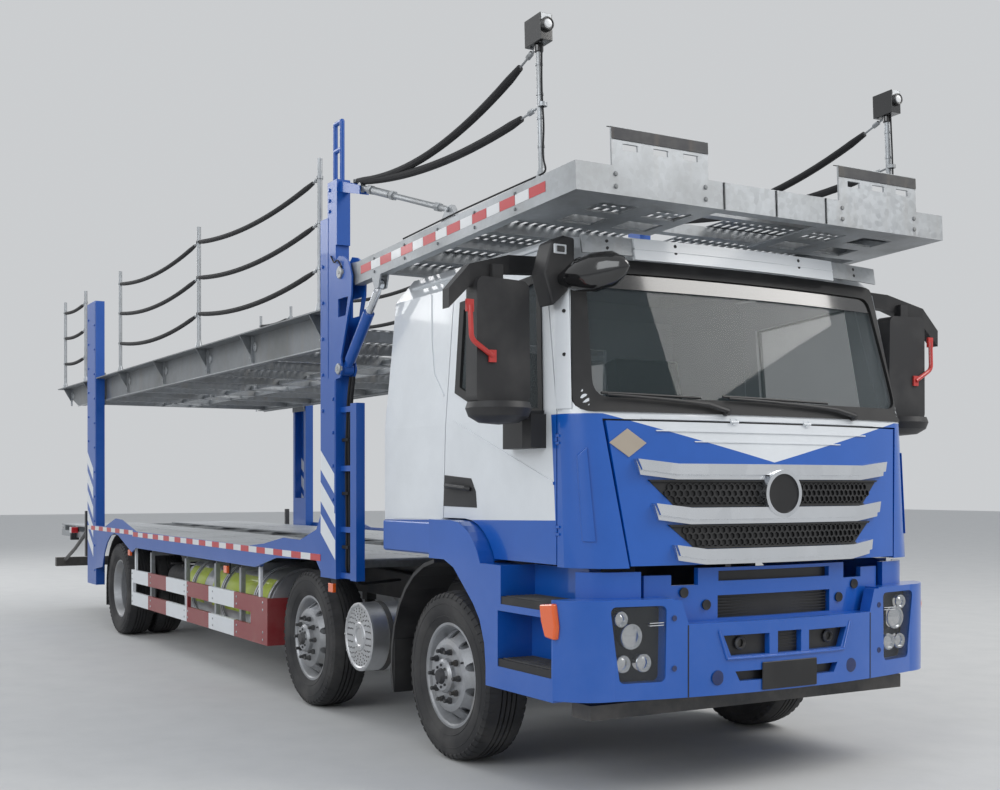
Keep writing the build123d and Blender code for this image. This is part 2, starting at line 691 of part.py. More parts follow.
def bumper():
    """Two tall corners, a lower middle with a ledge on top, and a recessed panel above the ledge."""
    low, high = BUMPER_Z
    inner = CORNER_INNER_Y
    foot = [(inner - 20, LEDGE_Z[1]), (inner - 20, low - 1)]
    corner_cut = front_cut([*foot, (1300, low - 1), (1300, high + 1), (inner + 20, high - 7)])
    corner = bumper_layer(0, BUMPER_WALL) & corner_cut
    corner -= lamp_prism()
    shelf_depth, shelf_thick = CORNER_SHELF
    shelf = bumper_layer(0, shelf_depth, high - shelf_thick, high)
    corner += shelf & block((5500, 6100), (inner + 60, 1300), (low, high))
    under = extrude(plan(high, CAB_SECTIONS[CAB_FLOOR_Z], 25), amount=CAB_FLOOR_Z - 20 - high)
    under -= extrude(plan(high - 1, CAB_SECTIONS[CAB_FLOOR_Z], 60), amount=CAB_FLOOR_Z - 18 - high)
    corner += under & block((BUMPER_BACK_X, 6000), CORNER_PANEL_Y, (high, CAB_FLOOR_Z))
    span = (20 - inner, inner - 20)
    middle = bumper_layer(0, BUMPER_WALL, low, LEDGE_Z[0]) & block((5500, 6100), span, (low, LEDGE_Z[0]))
    for outline in (*LOWER_OPENINGS, LOWER_SLOT):
        middle -= both(front_cut(outline))
    wide, plate_low, plate_high = PLATE
    middle -= block((FRONT_X - 12, FRONT_X + 10), (-wide - 1, wide + 1), (plate_low - 1, plate_high + 1))
    ledge = bumper_layer(0, CROSS_PANEL_DEPTH[0] + 14, *LEDGE_Z) & block((5500, 6100), span, LEDGE_Z)
    panel = bumper_layer(*CROSS_PANEL_DEPTH, LEDGE_Z[1], CROSS_PANEL_TOP_Z) & both(front_cut(CROSS_PANEL))
    for outline in CROSS_OPENINGS:
        panel -= front_cut(outline)
    return both(corner) + middle + ledge + panel


def headlamps():
    """The clear covers of the headlamps."""
    return bumper_layer(4, 10) & both(lamp_prism())


# across, up, radius of each round unit in a headlamp
LAMP_UNITS = [(958, 905, 34), (905, 820, 58), (948, 688, 38), (842, 690, 40)]


def lamp_unit(y, z, radius):
    """One round unit of the left headlamp."""
    face = FRONT_X - 40 - (y / 1010) ** 2 * 120
    return bar((face - 60, y, z), (face, y, z), radius)


def bumper_grilles():
    """Dark plates behind the openings, the headlamps' backing and the blank front plate."""
    layer = bumper_layer(35, BUMPER_WALL - 8)
    plates = [layer & both(front_cut(outline)) for outline in (*LOWER_OPENINGS, LOWER_SLOT)]
    low, high = CROSS_OPENINGS[1][2][1] - 10, CROSS_OPENINGS[0][0][1] + 10
    back = bumper_layer(CROSS_PANEL_DEPTH[1], CROSS_PANEL_DEPTH[1] + 15, low, high)
    plates.append(back & block((5500, 6100), (-400, 400), (low, high)))
    lamp_back = bumper_layer(BUMPER_WALL - 10, BUMPER_WALL) & lamp_prism()
    for y, z, radius in LAMP_UNITS:
        lamp_back -= bar((5600, y, z), (6100, y, z), radius)
    wide, low, high = PLATE
    return plates + pair(lamp_back) + [block((FRONT_X - 12, FRONT_X), (-wide, wide), (low, high))]


UNDER_BEAM_Z = (406, 480)


def under_beam():
    """The dark crash beam below the bumper, on two arms from the frame."""
    beam = block((5600, 5760), (-1070, 1070), UNDER_BEAM_Z)
    arm_y = (FRAME_WIDTH / 2 - 60, FRAME_WIDTH / 2)
    beam += both(block((FRAME_FRONT_X, 5700), arm_y, (UNDER_BEAM_Z[1], 900)))
    inside = extrude(plan(600, BUMPER_SECTION, BUMPER_WALL), amount=100)
    return beam + both(block((5660, FRONT_X), arm_y, (640, 690)) & inside)


ARCH_RADIUS = 640
HOUSING_Y = (960, 1240)
HOUSING_Z = (500, 1140)
STEP_X = ((5190, BUMPER_BACK_X), (5160, BUMPER_BACK_X))
STEP_Z = (980, 655)
STEP_DEPTH = 210
TREAD_THICK = 40
# the wheel arch's edge, from the fender's top down to its foot
ARCH_EDGE = [(4680, 1100), (4790, 1010), (4900, 920), (4970, 840), (5020, 720), (5035, 600), (5035, HOUSING_Z[0])]


def step_housings():
    """The body-coloured step box and fender between each front wheel and the bumper."""
    low, high = HOUSING_Z
    outline = [(BUMPER_BACK_X, low), (BUMPER_BACK_X, high), (4568, high), *ARCH_EDGE]
    box = side_plate(outline, HOUSING_Y)
    for (rear, front), z, top in zip(STEP_X, STEP_Z, (high + 1, 905)):
        box -= block((rear, front + 1), (HOUSING_Y[1] - STEP_DEPTH, HOUSING_Y[1] + 1), (z - TREAD_THICK, top))
    box += block((5250, 5340), (FRAME_WIDTH / 2, HOUSING_Y[0]), (800, 860))
    x, z, radius = FLARE_ARC
    flare = [(DOOR_REAR_X, high), (DOOR_REAR_X, FLARE_TOP_Z), *arc_points(x, z, radius, 90, 22, 7)]
    flare += [(flare[-1][0], high)]
    return pair(box) + pair(side_plate(flare, (CAB_SECTIONS[CAB_FLOOR_Z][1], HOUSING_Y[1])))


def step_treads():
    treads = None
    for (low, high), z in zip(STEP_X, STEP_Z):
        tread = block((low, high), (HOUSING_Y[1] - STEP_DEPTH, HOUSING_Y[1] - 4), (z - TREAD_THICK, z))
        treads = tread if treads is None else treads + tread
    return both(treads)


GUARD_THICK = 22
GUARD_Y = (930, 1220)


def mudguards():
    """The plastic guards that curve over and behind the front wheels."""
    outline = arc_points(FRONT_AXLE_X, TYRE_RADIUS, ARCH_RADIUS + GUARD_THICK, 98, 196, 9)
    outline += arc_points(FRONT_AXLE_X, TYRE_RADIUS, ARCH_RADIUS, 196, 98, 9)
    guard = side_plate(outline, GUARD_Y)
    return both(guard + block((3915, 3975), (FRAME_WIDTH / 2, GUARD_Y[0] + 60), (800, 850)))


# Posts


def front_posts():
    """A front post with its ladder, hinge cheeks, slotted brace plate and hand loop."""
    post_y = (POST_INNER_Y, SIDE_Y)
    post = block(FRONT_POST_X, post_y, (FRONT_POST_Z[0], FRONT_POST_NECK_Z))
    post += block(FRONT_POST_NECK_X, post_y, (FRONT_POST_NECK_Z - 200, FRONT_POST_Z[1]))
    face = FRONT_POST_X[1]
    cheek = [
        (face, 3010), (3180, 3045), (3258, 3030), (3330, 2990), (3386, 2891),
        (3378, 2768), (3211, 2380), (3235, 2300), (3200, 2252), (face, 2246),
    ]
    window = [(3170, 2765), (3330, 2765), (3290, 2647), (3170, 2647)]
    for y in ((SIDE_Y - CHEEK_THICK, SIDE_Y), (POST_INNER_Y - CHEEK_THICK, POST_INNER_Y)):
        post += side_plate(cheek, y) - side_plate(window, y)
    post += block((FRONT_POST_X[1] - 40, face), (POST_INNER_Y - CHEEK_THICK, POST_INNER_Y), (2246, 3010))
    across = (POST_INNER_Y - CHEEK_THICK, SIDE_Y)
    post += pin(HINGE[0], HINGE[1], HINGE_PIN_RADIUS, across)
    post += pin(LIFT_FOOT[0], LIFT_FOOT[1], LIFT_PIN_RADIUS, across)
    ladder = block((3307, 3400), (1190, 1250), (FRONT_POST_Z[0], 2080))
    for z in (965, 1265, 1663, 2047):
        ladder += block((face, 3310), (1200, 1240), (z - 18, z + 18))
    guide = [(3150, 3540), (3150, 3470), (3460, 3395), (3460, 3450)]
    for y in (LIFT_Y - 32, LIFT_Y + 24):
        post += side_plate(guide, (y, y + 8))
    legs = (FRONT_POST_NECK_X[0] + 22, FRONT_POST_NECK_X[1] - 22)
    mid = (POST_INNER_Y + SIDE_Y) / 2
    top = 3940
    loop = bar((legs[0], mid, top), (legs[1], mid, top), 16)
    for x in legs:
        loop += bar((x, mid, FRONT_POST_Z[1]), (x, mid, top), 16) + Pos(x, mid, top) * Sphere(16)
    loop += bar((legs[0], mid, 3760), (legs[1], mid, 3760), 16)
    return pair(post) + pair(ladder) + pair(loop)


def rear_posts():
    post_y = (POST_INNER_Y, SIDE_Y)
    post = block(REAR_POST_X, post_y, REAR_POST_Z)
    inside = (REAR_POST_X[0] + 60, REAR_POST_X[1] - 60)
    post -= block(inside, (POST_INNER_Y - 1, SIDE_Y - 12), (1400, REAR_POST_Z[1] + 1))
    return both(post)


# Lower deck


def lower_rails():
    """The blue side rail of the lower deck, humped over its wheels, with the rear wheel arch."""
    front, back = FRONT_POST_X[0], REAR_POST_X[1]
    top = [
        (back, 1112), (-3080, 1112), (-2630, 1208), (-2390, 1201), (-1840, 1097), (1430, 1090),
        (1790, 1121), (2180, 1178), (2500, 1173), (2800, 1255), (front, 1353),
    ]
    arch = 575
    bottom = [(front, 975), (2790, 1050), (2040, 1027), (1590, 935), (-1840, 935), (-1990, 885)]
    bottom += arc_points(REAR_AXLE_X, TYRE_RADIUS, arch, 75, 160, 6)
    bottom += [(back, 640)]
    rail = side_plate(top + bottom, (SIDE_Y - 12, SIDE_Y))
    backing = [(-1800, 935), (1590, 935), (1640, 960), (1640, 1080), (-1800, 1085)]
    rail += side_plate(backing, (SIDE_Y - RAIL_WALL, SIDE_Y - 12))
    return both(rail)


LOWER_DECK_X = (REAR_X + 250, 3330)
FLOOR_Y = (220, POST_INNER_Y - 10)
# reach, places along X
LOWER_CROSS = [
    (FLOOR_Y[1], [*spaced(LOWER_DECK_X[0] + 150, REAR_POST_X[0] - 310, 3), -2800, -2000]),
    (SIDE_Y - RAIL_WALL, [-1100, -200, 700, 1590]),
    (POST_INNER_Y, [REAR_POST_X[1] - 200, 3000]),
]


def lower_deck():
    """Cross members on the frame and two long floor runways that carry the lower cars."""
    low, high, top = FRAME_TOP, LOWER_FLOOR_Z, LOWER_FLOOR_Z + LOWER_FLOOR_THICK
    deck = pair(block(LOWER_DECK_X, FLOOR_Y, (high, top)))
    for reach, places in LOWER_CROSS:
        deck += [block((x - 40, x + 40), (-reach, reach), (low, high)) for x in places]
    edge = block((LOWER_DECK_X[0], REAR_POST_X[0]), (FLOOR_Y[1] - 60, FLOOR_Y[1]), (low - 70, low))
    return deck + pair(edge)


def side_guards():
    guard = None
    for z in ((350, 480), (575, 705)):
        rail = block((-2150, 1750), (1205, 1235), z)
        guard = rail if guard is None else guard + rail
    for x in (-2150, -310, 1690):
        guard += block((x, x + 60), (1205, 1235), (350, 705))
    for x in (-2020, 1560):
        guard += block((x, x + 40), (1215, 1235), (700, 935))
    guard += block((1380, 1750), (1205, 1235), (350, 705)) + block((1728, 1750), (1000, 1235), (350, 705))
    return both(guard)


TANK_X = (-790, 1420)
TANK_RADIUS = 310
TANK_Y = 800
TANK_Z = 590


def fuel_tanks():
    tank = bar((TANK_X[0], TANK_Y, TANK_Z), (TANK_X[1], TANK_Y, TANK_Z), TANK_RADIUS)
    for x in (-500, 315, 1130):
        outer = bar((x - 35, TANK_Y, TANK_Z), (x + 35, TANK_Y, TANK_Z), TANK_RADIUS + 8)
        tank += outer
        tank += block((x - 35, x + 35), (FRAME_WIDTH / 2, TANK_Y - 180), (760, 860))
    return both(tank)


def silencer():
    can = bar((3340, -1195, 580), (3340, -620, 580), 220)
    can += block((3260, 3420), (-640, -FRAME_WIDTH / 2), (760, 800))
    return can


def battery_box():
    box = block((3060, 3620), (560, 1195), (400, 780))
    return box + block((3260, 3420), (FRAME_WIDTH / 2, 560), (740, 780))


def rear_bar():
    """The under-run bar and the tail frame with its lamps."""
    bumper = block((REAR_X, REAR_X + 80), (-1200, 1200), (530, 640))
    foot = FRAME_REAR_X + 100
    arm = [(REAR_X + 20, 640), (REAR_X + 80, 560), (foot + 60, 740), (foot + 60, 930), (foot, 930)]
    bumper += both(side_plate(arm, (FRAME_WIDTH / 2, FRAME_WIDTH / 2 + 40)))
    return bumper


def tail_lamps():
    y = (950, 1150)
    return both(block((REAR_X + 190, REAR_X + 250), y, (950, 1050)))


# Upper deck


def upper_deck():
    """The lifting deck's side beams, gussets and cross members."""
    low, top = DECK_TOP_Z - DECK_DEPTH, DECK_TOP_Z
    web_out = DECK_WEB_Y + DECK_WEB_WALL
    web = [
        (DECK_X[0], top - 60), (DECK_X[0], top), (DECK_X[1], top),
        (DECK_X[1], low), (DECK_X[0] + 600, low),
    ]
    beam = side_plate(web, (DECK_WEB_Y, web_out))
    beam += block((DECK_X[0] + 600, DECK_X[1]), (DECK_WEB_Y - 70, DECK_WEB_Y), (low, low + DECK_LIP_THICK))
    gap = DECK_POST_CLEARANCE
    lips = ((DECK_X[0], REAR_POST_X[0] - gap), (REAR_POST_X[1] + gap, FRONT_POST_X[0] - gap))
    for span in lips:
        beam += block(span, (web_out, SIDE_Y), (top - DECK_LIP_THICK, top))
    gusset = [(web_out, top - DECK_LIP_THICK), (SIDE_Y - 6, top - DECK_LIP_THICK), (web_out, low + 40)]
    for x in GUSSET_X:
        beam += cross_plate(gusset, (x - 6, x + 6))
    seat = low + DECK_LIP_THICK
    cross = [block((x - 30, x + 30), (-DECK_WEB_Y, DECK_WEB_Y), (seat, low + 80)) for x in DECK_CROSS_X]
    return pair(beam + sliders()) + cross


GUSSET_X = (DECK_X[0] + 270, -4120, -2560, -1230, 100, 1220, 2650)
DECK_CROSS_X = spaced(DECK_X[0] + 760, DECK_X[1] - 38, 11)
RUNWAY_Y = (200, 1080)


def upper_floor():
    low = DECK_TOP_Z - DECK_DEPTH + 80
    return both(block((DECK_X[0] + 560, DECK_X[1]), RUNWAY_Y, (low, low + 10)))


def railing():
    """The poles along the upper deck's lips, each in a small round socket."""
    poles = None
    y = SIDE_Y - 35
    for x in RAILING_POLE_X:
        pole = bar((x, y, DECK_TOP_Z), (x, y, RAILING_TOP_Z), RAILING_POLE_RADIUS)
        pole += Pos(x, y, DECK_TOP_Z + 30) * Cone(34, RAILING_POLE_RADIUS, 60)
        poles = pole if poles is None else poles + pole
    return both(poles)


def sliders():
    """The left shoes that guide the lifting deck on the inner faces of its posts."""
    y = (DECK_WEB_Y + DECK_WEB_WALL, POST_INNER_Y - SHOE_PLAY)
    shoes = block((FRONT_POST_X[0] + 20, DECK_X[1]), y, (2440, DECK_TOP_Z + 60))
    return shoes + block((REAR_POST_X[0] + 20, REAR_POST_X[1] - 20), y, (2440, DECK_TOP_Z + 60))


# Deck over the cab


def tipped(shape):
    return Pos(CAB_DECK_REAR[0], 0, CAB_DECK_REAR[1]) * Rot(0, -CAB_DECK_TILT, 0) * shape


def deck_local(x, z):
    """A point of the side view in the level frame of the deck over the cab."""
    a = radians(CAB_DECK_TILT)
    dx, dz = x - CAB_DECK_REAR[0], z - CAB_DECK_REAR[1]
    return dx * cos(a) + dz * sin(a), -dx * sin(a) + dz * cos(a)


CAB_DECK_INNER_Y = CHEEK_GAP_Y[0] + SWING_CLEARANCE
LUG_THICK = 10


def cab_deck():
    """The frame of the deck over the cab, with its hinge arms and lift lugs."""
    y0, y1 = CAB_DECK_INNER_Y, CAB_DECK_Y
    depth, length = CAB_DECK_DEPTH, CAB_DECK_LENGTH
    beam = block((0, length), (y0, y1), (-depth, 0))
    end = CAB_DECK_END
    beam -= block((end, length - end), (y0 - 1, y1 - CAB_DECK_WALL), (-depth + CAB_DECK_WALL, -CAB_DECK_WALL))
    hinge = deck_local(*HINGE)
    foot = deck_local(*LIFT_EYE)
    arm_y = (y0, y1 - 2)
    arm = [(hinge[0], hinge[1] + 55), (end, 0), (end, -depth), (hinge[0], hinge[1] - 55)]
    beam += side_plate(arm, arm_y) + pin(hinge[0], hinge[1], 55, arm_y)
    beam -= pin(hinge[0], hinge[1], HINGE_PIN_RADIUS + RUNNING_PLAY, (1000, 1300))
    lug = [(foot[0] - 60, -depth), (foot[0] + 60, -depth), (foot[0] + 28, foot[1] - 28), (foot[0] - 28, foot[1] - 28)]
    for y in ((y0, y0 + LUG_THICK), (y1 - LUG_THICK, y1)):
        beam += side_plate(lug, y)
    beam += pin(foot[0], foot[1], LIFT_EYE_PIN_RADIUS, (y0, y1))
    x, y = POLE_PLACE
    beam += bar((x, y, -5), (x, y, 780), 16) + block((x - 75, x + 75), (y - 30, y + 30), (760, 800))
    beam += Pos(x, y, 25) * Cone(32, 16, 50)
    web = y1 - CAB_DECK_WALL
    deck = pair(beam)
    for x in spaced(CAB_DECK_END + 90, length - 340, 6):
        deck.append(block((x - 30, x + 30), (-web, web), (-depth + 60, -20)))
    deck.append(block((length - 70, length), (-y0, y0), (-depth, 0)))
    plate = block((length - 12, length), (450, 1040), (0, 190))
    for y in (560, 745, 930):
        plate -= block((length - 20, length + 8), (y - 45, y + 45), (80, 112))
    belly = block((length - 620, length - 70), (350, y0), (-depth, -depth + 10))
    for x in (length - 480, length - 230):
        for y in (540, 890):
            belly -= block((x - 80, x + 80), (y - 110, y + 110), (-depth - 1, -depth + 11))
    return [tipped(shape) for shape in deck + pair(plate) + pair(belly)]


POLE_PLACE = (2182, 1216)


def cab_deck_floor():
    return tipped(both(block((30, CAB_DECK_LENGTH - 70), (150, CAB_DECK_INNER_Y), (-20, -10))))


BRACE_TOP = (3420, 3447)
BRACE_FOOT = (4610, 3085)


def braces():
    """The screw stays from the deck over the cab up to the front posts."""
    start, end = deck_local(*BRACE_TOP), deck_local(*BRACE_FOOT)
    y = LIFT_Y
    stay = bar((start[0], y, start[1]), (end[0], y, end[1]), 17)
    stay += pin(start[0], start[1], 30, (y - 18, y + 18))
    lug = [(end[0] - 90, 0), (end[0] + 90, 0), (end[0] + 30, end[1] + 22), (end[0] - 30, end[1] + 22)]
    stay += side_plate(lug, (y - 15, y + 15))
    return tipped(both(stay))


def lift_barrel():
    reach = hypot(LIFT_EYE[0] - LIFT_FOOT[0], LIFT_EYE[1] - LIFT_FOOT[1])
    ux, uz = (LIFT_EYE[0] - LIFT_FOOT[0]) / reach, (LIFT_EYE[1] - LIFT_FOOT[1]) / reach
    y = LIFT_Y
    start = (LIFT_FOOT[0] + 40 * ux, y, LIFT_FOOT[1] + 40 * uz)
    end = (LIFT_FOOT[0] + LIFT_BARREL_LENGTH * ux, y, LIFT_FOOT[1] + LIFT_BARREL_LENGTH * uz)
    neck = (LIFT_FOOT[0] + 80 * ux, y, LIFT_FOOT[1] + 80 * uz)
    body = bar(neck, end, LIFT_BARREL_RADIUS) + bar(start, neck, 28)
    deep = (LIFT_FOOT[0] + 90 * ux, y, LIFT_FOOT[1] + 90 * uz)
    over = (LIFT_FOOT[0] + 1.1 * LIFT_BARREL_LENGTH * ux, y, LIFT_FOOT[1] + 1.1 * LIFT_BARREL_LENGTH * uz)
    body -= bar(deep, over, LIFT_ROD_RADIUS + RUNNING_PLAY)
    body += pin(LIFT_FOOT[0], LIFT_FOOT[1], 42, (y - LIFT_BARREL_RADIUS, y + LIFT_BARREL_RADIUS))
    return body - pin(LIFT_FOOT[0], LIFT_FOOT[1], LIFT_PIN_RADIUS + RUNNING_PLAY, (1100, 1300))


def lift_rod():
    reach = hypot(LIFT_EYE[0] - LIFT_FOOT[0], LIFT_EYE[1] - LIFT_FOOT[1])
    ux, uz = (LIFT_EYE[0] - LIFT_FOOT[0]) / reach, (LIFT_EYE[1] - LIFT_FOOT[1]) / reach
    y = LIFT_Y
    start = (LIFT_FOOT[0] + 110 * ux, y, LIFT_FOOT[1] + 110 * uz)
    rod = bar(start, (LIFT_EYE[0], y, LIFT_EYE[1]), LIFT_ROD_RADIUS)
    rod += pin(LIFT_EYE[0], LIFT_EYE[1], 32, (y - 13, y + 13))
    slot = pin(LIFT_EYE[0], LIFT_EYE[1], 62, (y - 40, y - 13)) + pin(LIFT_EYE[0], LIFT_EYE[1], 62, (y + 13, y + 40))
    return rod - slot - pin(LIFT_EYE[0], LIFT_EYE[1], LIFT_EYE_BORE_RADIUS, (1100, 1300))


# Mirrors


# y, x, low z, high z of the upper arm's sections, from the door frame outward
MIRROR_ARM = [(1060, 5310, 2638, 2726), (1330, 5390, 2610, 2700), (1580, 5440, 2520, 2628), (1700, 5450, 2405, 2500)]
MIRROR_X = (5395, 5505)


def mirror_head():
    """A door mirror: a curved upper arm, a lower arm on its box, and a tall housing between them."""
    head = cross_plate([(1253, 1962), (1560, 1946), (1556, 2570), (1262, 2560)], MIRROR_X)
    head = fillet(head.edges().filter_by(Axis.X), 42)
    sections = []
    for y, x, low, high in MIRROR_ARM:
        outline = [(x - 32, low), (x + 32, low), (x + 32, high), (x - 32, high)]
        sections.append(Plane.XZ.offset(-y) * Polygon(*outline, align=None))
    arm = loft(sections, ruled=True) + block((5420, 5470), (1390, 1450), (2540, 2640))
    low_arm = [(1140, 1900), (1250, 1885), (1450, 1940), (1430, 1985), (1240, 1925), (1140, 1930)]
    arm += cross_plate(low_arm, (5425, 5465))
    box = [(5163, 1140), (5489, 1140), (5474, 1232), (5420, 1250), (5230, 1250), (5178, 1218)]
    arm += extrude(Plane.XY.offset(1740) * Polygon(*box, align=None), amount=170)
    return head + (arm - cab_solid(0))


os.makedirs("parts", exist_ok=True)
save("chassis_frame", *frame())
save("engine_block", engine())
save("axles", steer_beam(FRONT_AXLE_X) + steer_beam(SECOND_AXLE_X) + drive_axle(REAR_AXLE_X))
springs = None
for row in SPRINGS:
    springs = both(spring(*row)) if springs is None else springs + both(spring(*row))
save("leaf_springs", springs)
for place, axle_x in (("front", FRONT_AXLE_X), ("second", SECOND_AXLE_X)):
    pieces = {"knuckle": knuckle(axle_x), "tyre": tyre(axle_x, STEER_WHEEL_Y), "rim": steer_rim(axle_x)}
    for piece, shape in pieces.items():
        save(f"{piece}_{place}_left", shape)
        save(f"{piece}_{place}_right", right(shape))
dual_tyres = tyre(REAR_AXLE_X, DUAL_OUTER_Y) + tyre(REAR_AXLE_X, DUAL_OUTER_Y - DUAL_SPACING)
for piece, shape in {"tyre": dual_tyres, "rim": dual_rim(REAR_AXLE_X)}.items():
    save(f"{piece}_rear_left", shape)
    save(f"{piece}_rear_right", right(shape))
save("cab_shell", *cab())
save("cab_glass", *cab_glass())
save("front_flap", flap())
save("trim_bars", *trim_bars())
save("nose_grille", *grille())
save("seats", seats())
save("dashboard", dashboard() + steering_wheel())
for piece, shape in {"door": door(), "door_glass": door_glass(), "mirror": mirror_head()}.items():
    save(f"{piece}_left", shape)
    save(f"{piece}_right", right(shape))
save("bumper", bumper())
lamp_units = [shape for row in LAMP_UNITS for shape in pair(lamp_unit(*row))]
save("lamps", headlamps(), tail_lamps(), *lamp_units)
save("bumper_grilles", *bumper_grilles())
save("under_run_bars", under_beam() + rear_bar())
save("step_housings", *step_housings())
save("step_treads", step_treads())
save("mudguards", mudguards())
save("front_posts", *front_posts())
save("rear_posts", rear_posts())
save("lower_rails", lower_rails())
save("lower_deck", *lower_deck())
save("side_guards", side_guards())
save("fuel_tanks", fuel_tanks())
save("silencer", silencer())
save("battery_box", battery_box())
save("upper_deck", *upper_deck())
save("upper_floor", upper_floor())
save("railing", railing())
save("cab_deck", *cab_deck())
save("cab_deck_floor", cab_deck_floor())
save("braces", braces())
for piece, shape in {"lift_barrel": lift_barrel(), "lift_rod": lift_rod()}.items():
    save(f"{piece}_left", shape)
    save(f"{piece}_right", right(shape))
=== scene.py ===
# %% [markdown]
# # A car transporter truck, dressed for the camera
#
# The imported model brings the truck's structure: cab, posts, decks, wheels and their joints.
# This script adds what a paint shop and a trim line add to the real one, cell by cell.
# Everything is in metres: X points forward, Y to the truck's left and Z up from the ground.

from math import cos, pi, radians, sin

import bmesh
import bpy
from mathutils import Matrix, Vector


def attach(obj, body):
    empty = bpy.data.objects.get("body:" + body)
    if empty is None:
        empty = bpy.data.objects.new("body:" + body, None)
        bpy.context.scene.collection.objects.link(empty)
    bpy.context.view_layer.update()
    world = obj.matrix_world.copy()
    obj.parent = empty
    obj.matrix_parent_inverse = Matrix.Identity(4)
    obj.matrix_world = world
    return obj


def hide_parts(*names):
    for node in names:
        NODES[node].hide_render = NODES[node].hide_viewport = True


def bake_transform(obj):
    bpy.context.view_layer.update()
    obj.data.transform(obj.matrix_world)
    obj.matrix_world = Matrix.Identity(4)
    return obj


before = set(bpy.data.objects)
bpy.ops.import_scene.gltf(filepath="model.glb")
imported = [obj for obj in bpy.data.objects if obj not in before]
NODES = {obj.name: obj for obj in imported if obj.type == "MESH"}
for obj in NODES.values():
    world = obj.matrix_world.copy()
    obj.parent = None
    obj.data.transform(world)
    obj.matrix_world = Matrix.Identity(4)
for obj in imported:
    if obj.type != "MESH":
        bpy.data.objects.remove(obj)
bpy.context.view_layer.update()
print("frame nodes:", len(NODES))

# %% [markdown]
# ## Helpers that turn a few measurements into a mesh
#
# Most fittings on a truck are folded plates, turned parts and bent bars. Three small builders
# cover them: a prism for plates, a lathe for turned parts and a sweep for bars and hoses.
# Each one adds its faces to a bmesh, so that one bracket with its bolts becomes one piece.
#
# The prism comes first. Its outline lies across one axis, which suits plates cut from sheet.

# %% Prisms and boxes
def spot(axis, a, b, depth):
    """A point from two outline coordinates and a depth along the plate's thickness."""
    return {"x": (depth, a, b), "y": (a, depth, b), "z": (a, b, depth)}[axis]


def prism(bm, outline, axis, low, high):
    """A plate: an outline across one axis, between two values along it."""
    rings = [[bm.verts.new(spot(axis, a, b, d)) for a, b in outline] for d in (low, high)]
    bm.faces.new(rings[0])
    bm.faces.new(list(reversed(rings[1])))
    for i in range(len(outline)):
        j = (i + 1) % len(outline)
        bm.faces.new((rings[0][j], rings[0][i], rings[1][i], rings[1][j]))


def block(bm, x, y, z):
    """A box between two values on each axis."""
    prism(bm, [(x[0], z[0]), (x[1], z[0]), (x[1], z[1]), (x[0], z[1])], "y", y[0], y[1])


# %% [markdown]
# A turned part is a profile of distances and radii that goes once about a line. A ring whose radius is
# zero shrinks to a single point, so the middle of a cap stays closed. A rod is the simplest of them.

# %% Lathes and rods
def around(start, end):
    """A frame of two directions square to a line."""
    along = (Vector(end) - Vector(start)).normalized()
    side = along.cross(Vector((0, 0, 1)))
    if side.length < 0.01:
        side = along.cross(Vector((0, 1, 0)))
    side.normalize()
    return along, side, along.cross(side)


def lathe(bm, profile, start, end, steps=32, turn=2 * pi):
    """A turned part: (distance along the axis, radius) pairs turned about the line start to end."""
    along, side, up = around(start, end)
    foot = Vector(start)
    closed = abs(turn - 2 * pi) < 1e-6
    count = steps if closed else steps + 1
    rings = []
    for distance, radius in profile:
        centre = foot + along * distance
        if radius < 1e-6:
            rings.append([bm.verts.new(centre)])
            continue
        ring = []
        for i in range(count):
            a = turn * i / steps
            ring.append(bm.verts.new(centre + (side * cos(a) + up * sin(a)) * radius))
        rings.append(ring)
    for low, high in zip(rings, rings[1:]):
        for i in range(steps):
            j = (i + 1) % count
            corners = [low[i % len(low)], low[j % len(low)], high[j % len(high)], high[i % len(high)]]
            unique = list(dict.fromkeys(corners))
            if len(unique) > 2:
                bm.faces.new(unique)


def rod(bm, start, end, radius, steps=16, cap=0.0):
    """A round bar with flat or slightly domed ends."""
    length = (Vector(end) - Vector(start)).length
    rim = radius - cap
    profile = [(0, 0), (0, rim), (cap, radius), (length - cap, radius), (length, rim), (length, 0)]
    lathe(bm, profile, start, end, steps)


# %% [markdown]
# Hoses, bars and ropes follow a path. A curve object with a bevel could make them too, but a ring of
# points carried from one path point to the next gives a plain mesh at once and never twists.

# %% Sweeps and bends
def sweep(bm, path, radius, steps=12):
    """A bar or hose along a list of points, with mitred bends and closed ends."""
    points = [Vector(p) for p in path]
    rings = []
    side = None
    for i, point in enumerate(points):
        before = points[max(i - 1, 0)]
        after = points[min(i + 1, len(points) - 1)]
        along = (after - before).normalized()
        if side is None:
            side = around(before, after)[1]
        side = (side - along * side.dot(along)).normalized()
        up = along.cross(side)
        size = radius[i] if isinstance(radius, (list, tuple)) else radius
        turned = [side * cos(2 * pi * k / steps) + up * sin(2 * pi * k / steps) for k in range(steps)]
        rings.append([bm.verts.new(point + d * size) for d in turned])
    for low, high in zip(rings, rings[1:]):
        for k in range(steps):
            j = (k + 1) % steps
            bm.faces.new((low[k], low[j], high[j], high[k]))
    bm.faces.new(list(reversed(rings[0])))
    bm.faces.new(rings[-1])


def bend(corners, radius, count=6):
    """A path through corner points with each corner rounded to a radius."""
    points = [Vector(c) for c in corners]
    path = [points[0]]
    for before, corner, after in zip(points, points[1:], points[2:]):
        into, out = (corner - before).normalized(), (after - corner).normalized()
        reach = min(radius, 0.45 * (corner - before).length, 0.45 * (after - corner).length)
        a, b = corner - into * reach, corner + out * reach
        for k in range(count + 1):
            t = k / count
            path.append(a.lerp(corner, t).lerp(corner.lerp(b, t), t))
    return path + [points[-1]]


